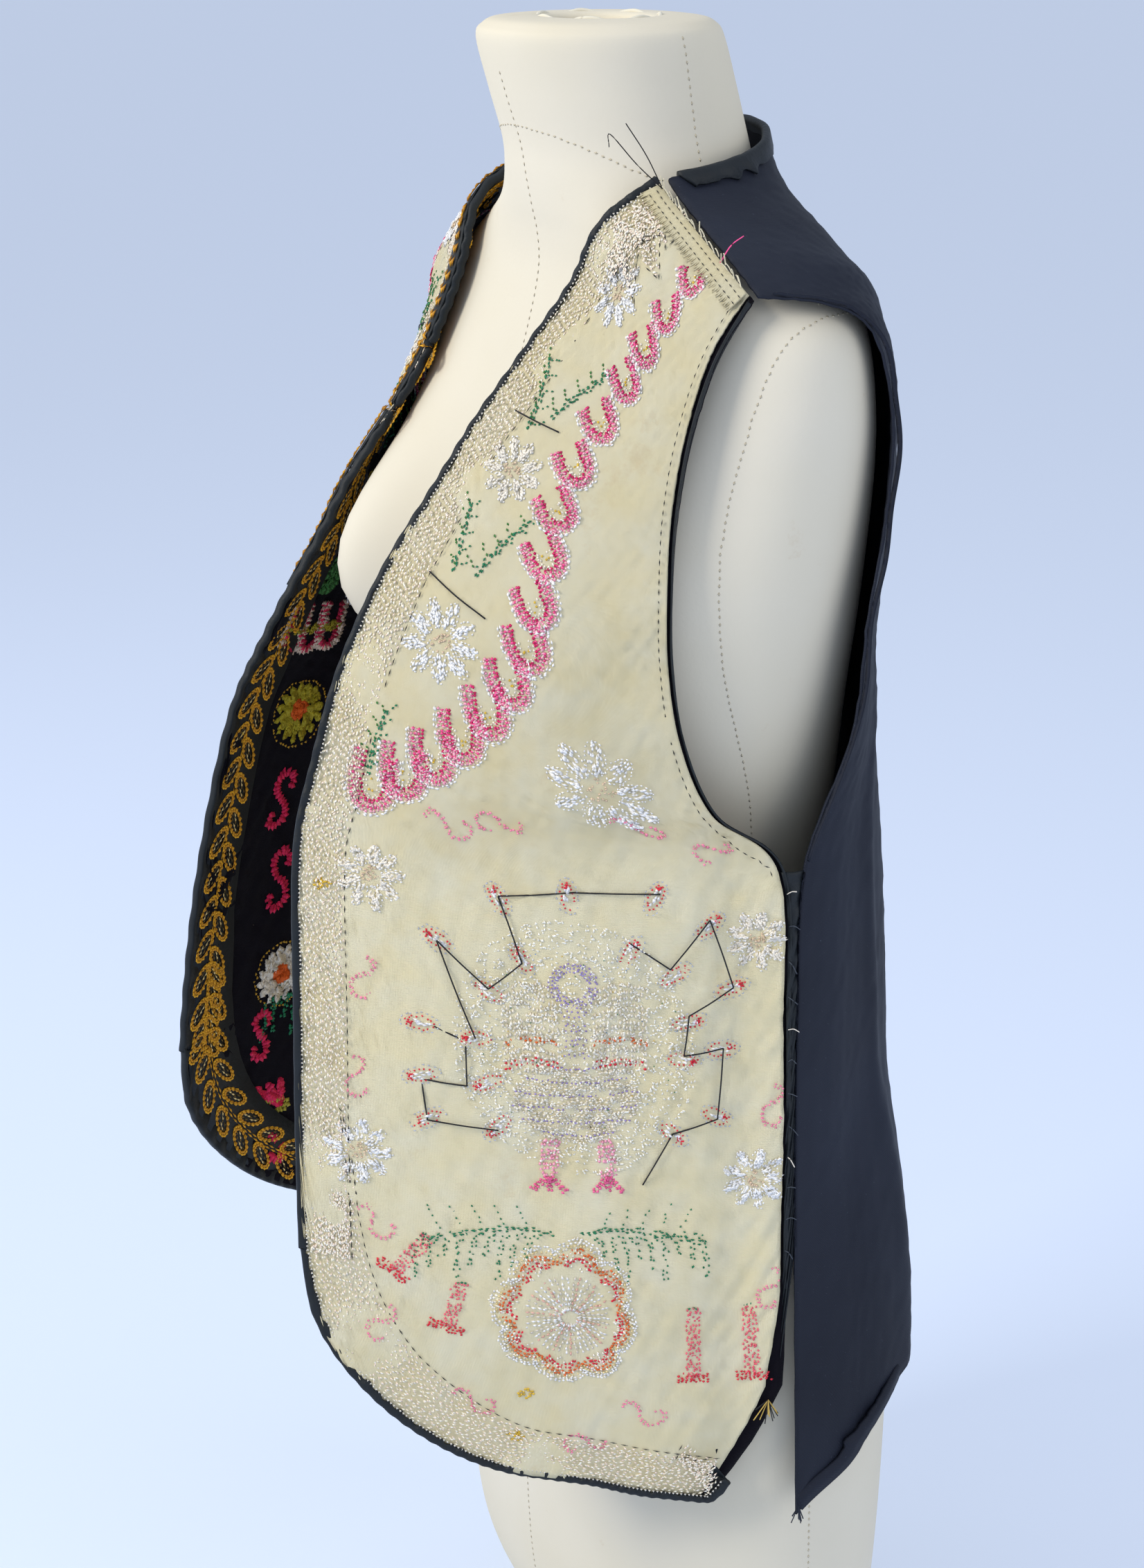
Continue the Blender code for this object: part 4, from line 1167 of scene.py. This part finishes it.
def scrolls(d):
    for a, b, t in ((0.34, 7.5, 0.2), (0.46, 7.4, 3.0), (0.76, 7.35, 0.4), (0.87, 7.75, 2.6),
                    (0.14, 8.75, 1.7), (0.12, 9.4, 1.4), (0.15, 10.4, 0.6), (0.15, 11.2, 2.0),
                    (0.32, 11.95, 0.3), (0.965, 9.6, 1.6), (0.965, 10.9, 1.7), (0.70, 12.0, 0.2),
                    (0.55, 12.35, 2.9)):
        c, s = cos(t), sin(t)
        curl = [(-1.0, 0.0), (-0.7, -0.45), (-0.25, -0.25), (-0.1, 0.15), (0.25, 0.5), (0.8, 0.3),
                (0.85, -0.2), (0.5, -0.3)]
        d.line(a, b, [((x * c - y * s) * 1.15, (x * s + y * c) * 1.15) for x, y in curl],
               PINK if d.face else (1.0, 0.30, 0.46), 0.13, 0.10, 0.045, 0.03, rows=2, apart=0.10)
    if d.face:
        bold_motifs(d)
    for a, b in ((0.40, 12.3), (0.43, 11.85), (0.06, 8.2)):
        d.fill(a, b, 0, 0, 0.45, 0.3, YELLOW, 0.0, 24, 0.15)


print("scrolls:", sewn(scrolls), "stitches")

# %% [markdown]
# The motifs are sewn in one fixed order, because each takes its small unevenness from the same run
# of random numbers. Then every stitch gets a real place on a front, with the cloth's own puckers
# under it.

# %% Drawing the design and placing it
def draw(face):
    """The whole design, as stitches in centimetres round each motif."""
    d = Design(face)
    for motif in (tulip_chain, bird, feather_eyes, rose, branches, trumpets, daisies, sprigs, scrolls):
        motif(d)
    return d


STITCH_LONG, STITCH_WIDE, STITCH_HIGH = 0.0064, 0.0130, 0.0005  # half sizes, for 1 cm drawn


def placed(surface, rows, off, shrink=1.0):
    """Real places, directions and facings of a design's stitches on a surface, off from it."""
    rows = np.array(rows)
    u0, v0, x, y, turn, length, width = rows[:, :7].T
    across, down = surface.slopes(np.clip(u0, 0.02, 0.98), np.maximum(v0, 0.1))
    u = u0 + x * 0.01 / np.linalg.norm(across, axis=1)
    v = v0 + y * 0.01 / np.linalg.norm(down, axis=1)
    edges = np.array([hem_place(min(1, max(0, a))) for a in u])
    keep = (u > 0.035) & (u < 0.985) & (v > 0.1) & (v < edges - 0.25)
    u, v, turn, length, width = (a[keep] for a in (u, v, turn, length, width))
    across, down = surface.slopes(u, v)
    across /= np.linalg.norm(across, axis=1, keepdims=True)
    down /= np.linalg.norm(down, axis=1, keepdims=True)
    run = across * np.cos(turn)[:, None] + down * np.sin(turn)[:, None]
    lift = backing_relief(3)(u * 24, v * 6) + off
    where = surface.at(u, v, lift)
    face = surface.look(surface.normals, u, v) * (1 if off > 0 else -1)
    size = np.stack([length * STITCH_LONG, width * STITCH_WIDE, np.full(len(u), STITCH_HIGH)], -1)
    size = size * shrink
    return where, run, face, size, rows[keep][:, 7:10]


# %% [markdown]
# The same design is drawn twice. The reverse lies on the cream cotton and the face on the velvet.
# The layer that shows carries more stitches, and the one that doesn't carries fewer, larger ones.

# %% The reverse of the embroidery, and its face
reverse, full = draw(False), draw(True)
print("stitches in the design:", len(reverse.rows), "on the reverse,", len(full.rows), "on the face")


def some(rows, most):
    """At most that many stitches, taken evenly."""
    return rows if len(rows) <= most else [rows[int(k)] for k in np.linspace(0, len(rows) - 1, most)]


# front, which side of it, how many stitches at most, and how much larger each is
layers = ((left, "reverse_left", 48000, 1.0), (left, "face_left", 9000, 1.4),
          (right, "reverse_right", 14000, 1.3), (right, "face_right", 36000, 1.15))
for surface, name, most, larger in layers:
    behind = name.startswith("reverse")
    rows = some(reverse.rows if behind else full.rows, most)
    laid = placed(surface, rows, 0.0015 if behind else -0.0014, larger)
    made = lay_stitches(name, *laid, "backing" if behind else "velvet")
    trims[name.split("_")[1]].append(made)
    print(name, len(made.data.polygons), "faces of thread")


# %% [markdown]
# ## Running stitches and carried threads
# The band is held by a row of running stitches seen on the backing, and the armhole by another in
# black. Black thread runs loose from one feather eye to the next: it was never cut.

# %% Rows of running stitch
def dashes(spots, long, gap):
    """Marks along a line of spots, the line's own lengths, and each dash's place and direction."""
    along = np.concatenate([[0], np.cumsum(np.linalg.norm(np.diff(spots, axis=0), axis=1))])
    marks = np.arange(gap, along[-1] - long, long + gap)
    where = np.stack([np.interp(marks, along, spots[:, k]) for k in range(3)], -1)
    ahead = np.stack([np.interp(marks + 0.001, along, spots[:, k]) for k in range(3)], -1)
    run = ahead - where
    return marks, along, where, run / (np.linalg.norm(run, axis=1, keepdims=True) + 1e-9)


def running(surface, path, inside, dye, long, gap, width, off):
    """Stitches in a row along an edge path, a real distance in from it."""
    path = np.asarray(path, float)
    turn, _ = inward(surface, path)
    on = path + turn * inside
    spots = surface.at(on[:, 0], on[:, 1], off)
    marks, along, where, run = dashes(spots, long, gap)
    face = surface.look(surface.normals, *(np.interp(marks, along, on[:, k]) for k in (0, 1)))
    tone = rng.uniform(0.8, 1.1, (len(marks), 1))
    size = np.tile([long / 2, width / 2, width / 2], (len(marks), 1))
    return where, run, face * (1 if off > 0 else -1), size, np.array(dye) * tone


def joined(rows):
    """Several rows of stitches as one."""
    return [np.concatenate([row[k] for row in rows]) for k in range(5)]


for name, surface in (("left", left), ("right", right)):
    edge = front_edge()
    side = [(1.0, v) for v in np.linspace(0.15, 8.0, 220)][::-1]
    rows = [running(surface, edge, 0.0262, BLACK, 0.0042, 0.0014, 0.0006, 0.0021),
            running(surface, edge, 0.0036, (0.74, 0.70, 0.62), 0.0016, 0.0005, 0.0012, 0.0021),
            running(surface, side, 0.0065, BLACK, 0.0034, 0.0012, 0.0006, 0.0021)]
    shoulder = [(u, 0.04) for u in np.linspace(0.97, 0.06, 80)]
    rows += [running(surface, shoulder, inside, BLACK, 0.003, 0.001, 0.0005, 0.0034)
             for inside in (0.0035, 0.0075)]
    for k in range(24):
        dye = ((1.0, 0.94, 0.76), (0.92, 0.80, 0.62), (0.98, 0.93, 0.84), (0.98, 0.80, 0.66))[k % 4]
        where, run, face, size, dyes = running(
            surface, edge, 0.0050 + k * 0.00085, dye, 0.0024, 0.0009 + 0.0005 * (k % 3), 0.0009, 0.0019)
        beside = np.cross(run, face)
        lean = rng.normal(0.25 if k % 2 else -0.25, 0.25, (len(run), 1))
        where = where + beside * rng.normal(0, 0.0005, (len(run), 1))
        rows.append((where, run + beside * lean, face, size, dyes))
    trims[name].append(lay_stitches(f"running_stitches_{name}", *joined(rows), "backing"))

# %% [markdown]
# The face of the band carries a laurel braid: pairs of ochre leaves along a stem.

# %% The laurel braid on the satin band
def laurel(surface, path, off, stem_at=0.0140, every=0.0195, size=1.0):
    """Leaves in pairs along a path: an ochre outline round a fill of gold, on a corded stem."""
    rows = [running(surface, path, stem_at + w, (0.78, 0.38, 0.02), 0.005, 0.0002, 0.0011, off)
            for w in (-0.0006, 0.0006)]
    for side in (-1, 1):
        where, run, face, _, _ = running(
            surface, path, stem_at + side * 0.0052 * size, (1, 1, 1), 0.001, every - 0.001, 0.001, off)
        beside = np.cross(run, face) * surface.side * (-1 if off < 0 else 1)
        ahead = -run + beside * side * 0.50
        ahead /= np.linalg.norm(ahead, axis=1, keepdims=True)
        aside = np.cross(face, ahead)
        for k in range(16):
            a = 2 * pi * k / 16
            for grow, dye in ((1.0, (0.84, 0.42, 0.02)), (0.82, (0.68, 0.31, 0.02))):
                at = ahead * 0.0092 * cos(a) * grow * size + aside * 0.0040 * sin(a) * grow * size
                way = -ahead * 0.0092 * sin(a) + aside * 0.0040 * cos(a)
                way /= np.linalg.norm(way, axis=1, keepdims=True)
                rows.append((where + at, way, face, np.tile([0.0019, 0.0008, 0.0007], (len(run), 1)),
                             np.tile(dye, (len(run), 1))))
        for k in range(9):
            at = ahead * (k - 4) * 0.0014 * size + aside * 0.0013 * sin(k * 2.4) * size
            rows.append((where + at, ahead, face, np.tile([0.0017, 0.0005, 0.0005], (len(run), 1)),
                         np.tile((0.92, 0.70, 0.30) if k % 2 else (0.16, 0.10, 0.02), (len(run), 1))))
    return rows


for name, surface in (("left", left), ("right", right)):
    rows = laurel(surface, front_edge(0.3, 0.85), -0.0023)
    trims[name].append(lay_stitches(f"laurel_braid_{name}", *joined(rows), "band"))

# %% [markdown]
# Near the neck the far front's edge rolls outwards, so a sliver of its band and braid shows.

# %% The rolled edge by the neck
path = dense([(0.0, v) for v in np.linspace(0.1, 6.4, 80)], 0.03)
roll = lambda k: np.clip(1.15 - k / len(path), 0.1, 1)
turned = profile((0.014, 0.007, 0.0), (0.0022, 0.0024, 0.0022), (0.0029, 0.0034, 0.0030))
trims["right"].append(strip_piece("rolled_edge_right", right, path, turned, binding, [], roll))
rows = [running(right, path, 0.0045 + w, dye, 0.006, 0.0012, 0.0022, 0.0036)
        for w, dye in ((0.0, (0.84, 0.42, 0.02)), (0.0022, (0.50, 0.22, 0.02)),
                       (-0.002, (0.56, 0.25, 0.02)))]
trims["right"].append(lay_stitches("rolled_braid_right", *joined(rows), "band"))


# %% [markdown]
# A carried thread is the plainest sign that this is the wrong side. Each is a fine round tube that
# stands a hair off the cloth between the two places where it goes through.

# %% Loose threads as fine tubes
def tubes(name, lines, dyes, radius, sides=5):
    """Smooth round threads through lists of points, joined in one mesh."""
    points, faces, color = [], [], []
    for line, dye in zip(lines, dyes):
        knots = [Vector(p) for p in line]
        spans = len(knots) - 1
        fine_line = [through(knots, t) for t in np.linspace(0, spans, spans * 6 + 1)]
        first = len(points)
        for k, p in enumerate(fine_line):
            ahead = (fine_line[min(k + 1, len(fine_line) - 1)] - fine_line[max(k - 1, 0)]).normalized()
            one = ahead.orthogonal().normalized()
            two = ahead.cross(one)
            for s in range(sides):
                a = 2 * pi * s / sides
                points.append(tuple(p + (one * cos(a) + two * sin(a)) * radius))
                color.append((*dye, 1))
        n = len(fine_line)
        for k in range(n - 1):
            for s in range(sides):
                t = (s + 1) % sides
                faces.append([first + k * sides + s, first + k * sides + t,
                              first + (k + 1) * sides + t, first + (k + 1) * sides + s])
        faces.append([first + s for s in range(sides)][::-1])
        faces.append([first + (n - 1) * sides + s for s in range(sides)])
    made = piece(name, points, faces, thread)
    made.data.attributes.new("dye", "FLOAT_COLOR", "POINT").data.foreach_set(
        "color", np.array(color, np.float32).ravel())
    return made


def on_front(surface, u, v, off=0.0024):
    return tuple(surface.at(np.array([u]), np.array([v]), np.array([off]))[0])


carried = [
    [(0.36, 9.1), (0.29, 8.5), (0.39, 8.78), (0.46, 8.62)],
    [(0.46, 8.62), (0.42, 8.2), (0.57, 8.16), (0.73, 8.18)],
    [(0.67, 8.5), (0.75, 8.66), (0.83, 8.36), (0.88, 8.78), (0.79, 8.95), (0.78, 9.22), (0.86, 9.18),
     (0.85, 9.66), (0.76, 9.75), (0.70, 10.1)],
    [(0.25, 8.98), (0.34, 9.12), (0.34, 9.42), (0.25, 9.38)],
    [(0.25, 9.38), (0.26, 9.66), (0.40, 9.72)],
    [(0.18, 2.9), (0.43, 2.8)],
    [(0.18, 4.8), (0.44, 5.0)],
]
for name, surface in (("left", left), ("right", right)):
    lines, dyes = [], []
    for path in carried:
        for a, b in zip(path, path[1:]):
            mid = ((a[0] + b[0]) / 2, (a[1] + b[1]) / 2)
            lines.append([on_front(surface, *a, 0.0021), on_front(surface, *mid, 0.0027),
                          on_front(surface, *b, 0.0021)])
            dyes.append(BLACK)
    trims[name].append(tubes(f"carried_threads_{name}", lines, dyes, 0.0004))

# %% [markdown]
# Where the shoulder, the side and the hem's corner were never finished, the weave frays and ends of
# thread hang out. They are short, uneven, and mostly the colour of the cloth they come from.

# %% Thread tails and frayed ends
lines, dyes = [], []
for k in range(26):
    u = 0.08 + 0.88 * k / 26
    base = np.array(on_front(left, u, 0.03 + 0.02 * sin(k * 3.1), 0.003))
    way = np.array([0.3 * sin(k * 1.7), -0.35 + 0.2 * cos(k), 0.75 + 0.2 * sin(k * 2.3)]) * 0.006
    lines.append([base, base + way * 0.5 + [0, 0, 0.0006], base + way])
    dyes.append((0.72, 0.66, 0.48))
neck_end = np.array(on_front(left, 0.10, 0.05, 0.003))
lines.append([neck_end, neck_end + [0.000, -0.014, 0.012], neck_end + [-0.004, -0.026, 0.026],
              neck_end + [0.002, -0.030, 0.021]])
lines.append([neck_end, neck_end + [0.002, -0.010, 0.016], neck_end + [0.0, -0.020, 0.031]])
dyes += [BLACK, BLACK]
pink_end = np.array(on_front(left, 0.72, 0.06, 0.003))
lines.append([pink_end, pink_end + [0.003, 0.004, 0.008], pink_end + [0.004, 0.010, 0.012]])
dyes.append(PINK)
for k in range(12):
    base = np.array(on_front(left, 0.995, 8.2 + 0.22 * k, 0.001))
    way = np.array([0.004, 0.002 + 0.001 * sin(k * 2.1), 0.003 * cos(k * 1.3)])
    lines.append([base, base + way * 0.6, base + way + [0, 0.001, -0.001 - 0.001 * (k % 3)]])
    dyes.append(SHADE if k % 4 == 0 else (0.05, 0.06, 0.08))
corner = np.array(on_front(left, 0.97, 11.9, 0.002))
for k in range(14):
    way = np.array([0.004 * sin(k * 2.2), 0.006 * cos(k * 1.9), -0.009 + 0.003 * sin(k)])
    lines.append([corner, corner + way * 0.5, corner + way])
    dyes.append((0.62, 0.42, 0.10) if k % 2 else BLACK)
tail = np.array(back_side.at(np.array([0.99]), np.array([sections - 0.02]), np.array([0.001]))[0])
for k in range(10):
    way = np.array([0.002 * sin(k * 2.2), 0.003 * cos(k * 1.9), -0.008 + 0.002 * sin(k)])
    lines.append([tail + way * 0.1, tail + way * 0.6, tail + way])
    dyes.append((0.02, 0.025, 0.04))
trims["left"].append(tubes("thread_tails", lines, dyes, 0.00028, 4))
print("threads:", len(lines))


# %% [markdown]
# ## Seams of the form
# The cover is closed by seams round the neck's base, down the side and round the armhole. Each is
# a line of small stitches pressed into the jersey. A drawn string closes the top.

# %% Seam stitches on the form
def on_form(point):
    """The nearest spot on the form, and the way it faces."""
    place, normal, _, _ = form_tree.find_nearest(Vector(point))
    return np.array(place), np.array(normal)


def seam(points, long=0.0022, gap=0.0016, width=0.0010, dye=(0.60, 0.54, 0.40)):
    """Stitches on the form along a line through rough points, which are dropped onto it."""
    knots = [Vector(p) for p in points]
    fine_line = [on_form(through(knots, t)) for t in np.linspace(0, len(knots) - 1, 160)]
    spots = np.array([p for p, _ in fine_line])
    ways = np.array([n for _, n in fine_line])
    marks, along, where, run = dashes(spots, long, gap)
    face = np.stack([np.interp(marks, along, ways[:, k]) for k in range(3)], -1)
    size = np.tile([long / 2, width / 2, 0.0003], (len(marks), 1))
    return where, run, face, size, np.tile(dye, (len(marks), 1))


rows = []
for side in (1, -1):
    down_the_side = [(0.150, 0.030, 0.79), (0.162, -0.045, 0.77), (0.160, -0.075, 0.70),
                     (0.150, -0.070, 0.62), (0.140, -0.045, 0.54), (0.125, -0.03, 0.46),
                     (0.150, -0.02, 0.30), (0.150, -0.01, 0.05)]
    over_the_shoulder = [(0.06, -0.04, 0.90), (0.066, -0.035, 0.86), (0.085, -0.03, 0.815),
                         (0.12, -0.025, 0.80), (0.155, -0.02, 0.785)]
    for points in (down_the_side, over_the_shoulder):
        rows.append(seam([(side * x, y, z) for x, y, z in points]))
neck_ring = [(0.075 * cos(a), -0.045 + 0.075 * sin(a), 0.835 - 0.012 * sin(a))
             for a in np.linspace(0, 2 * pi, 17)]
rows.append(seam(neck_ring))
rows.append(seam([(0.0, -0.11, 0.88), (0.0, -0.10, 0.82), (0.0, -0.13, 0.70), (0.0, -0.13, 0.62),
                  (0.0, -0.10, 0.50), (0.0, -0.10, 0.30), (0.0, -0.10, 0.03)]))
form_seams = lay_stitches("form_seams", *joined(rows), "form_cover")
middle = np.array([0.0, -0.054, 0.9035])
string = [[tuple(middle + [0.030 * cos(a), 0.030 * sin(a), 0.0012 * sin(a * 7)])
           for a in np.linspace(0, 2 * pi, 33)]]
tubes("drawstring", string, [(0.72, 0.68, 0.56)], 0.0011, 8)
print("form stitches:", len(form_seams.data.polygons))

# %% [markdown]

# %% [markdown]
# ## Light, floor and camera
# A pale floor that runs on out of view, one broad soft light from the front left, a fill and a
# little light from above, as in a museum's studio.

# %% Floor
backdrop, tree, shader, where, uv = finish_of("pale blue paper", 0.95)
shader.inputs["Base Color"].default_value = (0.47, 0.56, 0.76, 1)
shader.inputs["Emission Color"].default_value = (0.37, 0.38, 0.36, 1)
shader.inputs["Emission Strength"].default_value = 0.85
reach = 25.0
points = [(-reach, -reach, 0.0), (reach, -reach, 0.0), (reach, reach, 0.0), (-reach, reach, 0.0)]
faces = [(0, 1, 2, 3)]
mesh = bpy.data.meshes.new("floor")
mesh.from_pydata(points, [], faces)
mesh.materials.append(backdrop)
mesh.shade_smooth()
floor = bpy.data.objects.new("floor", mesh)
bpy.context.scene.collection.objects.link(floor)
print("floor:", 2 * reach, "m across")

# %% [markdown]
# The key light comes low from the front, so that it rakes across the near front and picks out the
# puckers. The others are broad and weak and only open up the shadows.

# %% Lights
def lamp(name, place, target, size, watts, color=(1, 1, 1)):
    data = bpy.data.lights.new(name, "AREA")
    data.energy, data.size, data.color = watts, size, color
    made = bpy.data.objects.new(name, data)
    made.location = place
    made.rotation_euler = (Vector(target) - Vector(place)).to_track_quat("-Z", "Y").to_euler()
    bpy.context.scene.collection.objects.link(made)
    return made


lamp("key", (0.1, -2.3, 1.9), (0, 0, 0.5), 0.9, 50, (1.0, 0.94, 0.83))
lamp("fill", (2.0, 0.9, 1.2), (0, 0, 0.5), 1.8, 15, (1.0, 0.97, 0.92))
lamp("top", (0.0, -0.2, 2.6), (0, 0, 0.5), 1.6, 8)
lamp("far", (-1.8, -1.2, 1.4), (0, 0, 0.5), 1.5, 8)
world = bpy.data.worlds.new("studio")
world.use_nodes = True
world.node_tree.nodes["Background"].inputs[0].default_value = (0.72, 0.82, 1.0, 1)
world.node_tree.nodes["Background"].inputs[1].default_value = 0.72
bpy.context.scene.world = world
bpy.context.scene.view_settings.view_transform = "Standard"
bpy.context.scene.view_settings.exposure = -0.15

# %% [markdown]
# The camera stands about as high as the form's neck and looks slightly down, from the vest's left
# front quarter. Its lens is long enough to keep the body's proportions natural.

# %% Camera
TURN, TILT = 61 * pi / 180, 17.5 * pi / 180  # round from the front, and down from level
AWAY, ASIDE, ABOVE = 1.57, 0.06, 1.002
ahead = Vector((sin(TURN), -cos(TURN), 0))
across = Vector((cos(TURN), sin(TURN), 0))
data = bpy.data.cameras.new("camera")
data.sensor_fit, data.angle = "VERTICAL", 0.4934
camera = bpy.data.objects.new("camera", data)
camera.location = ahead * AWAY - across * ASIDE + Vector((0, 0, ABOVE))
camera.rotation_euler = (pi / 2 - TILT, 0, TURN)
data.clip_start, data.clip_end = 0.05, 30
bpy.context.scene.collection.objects.link(camera)
bpy.context.scene.camera = camera
print("camera at", np.round(camera.location, 2).tolist())
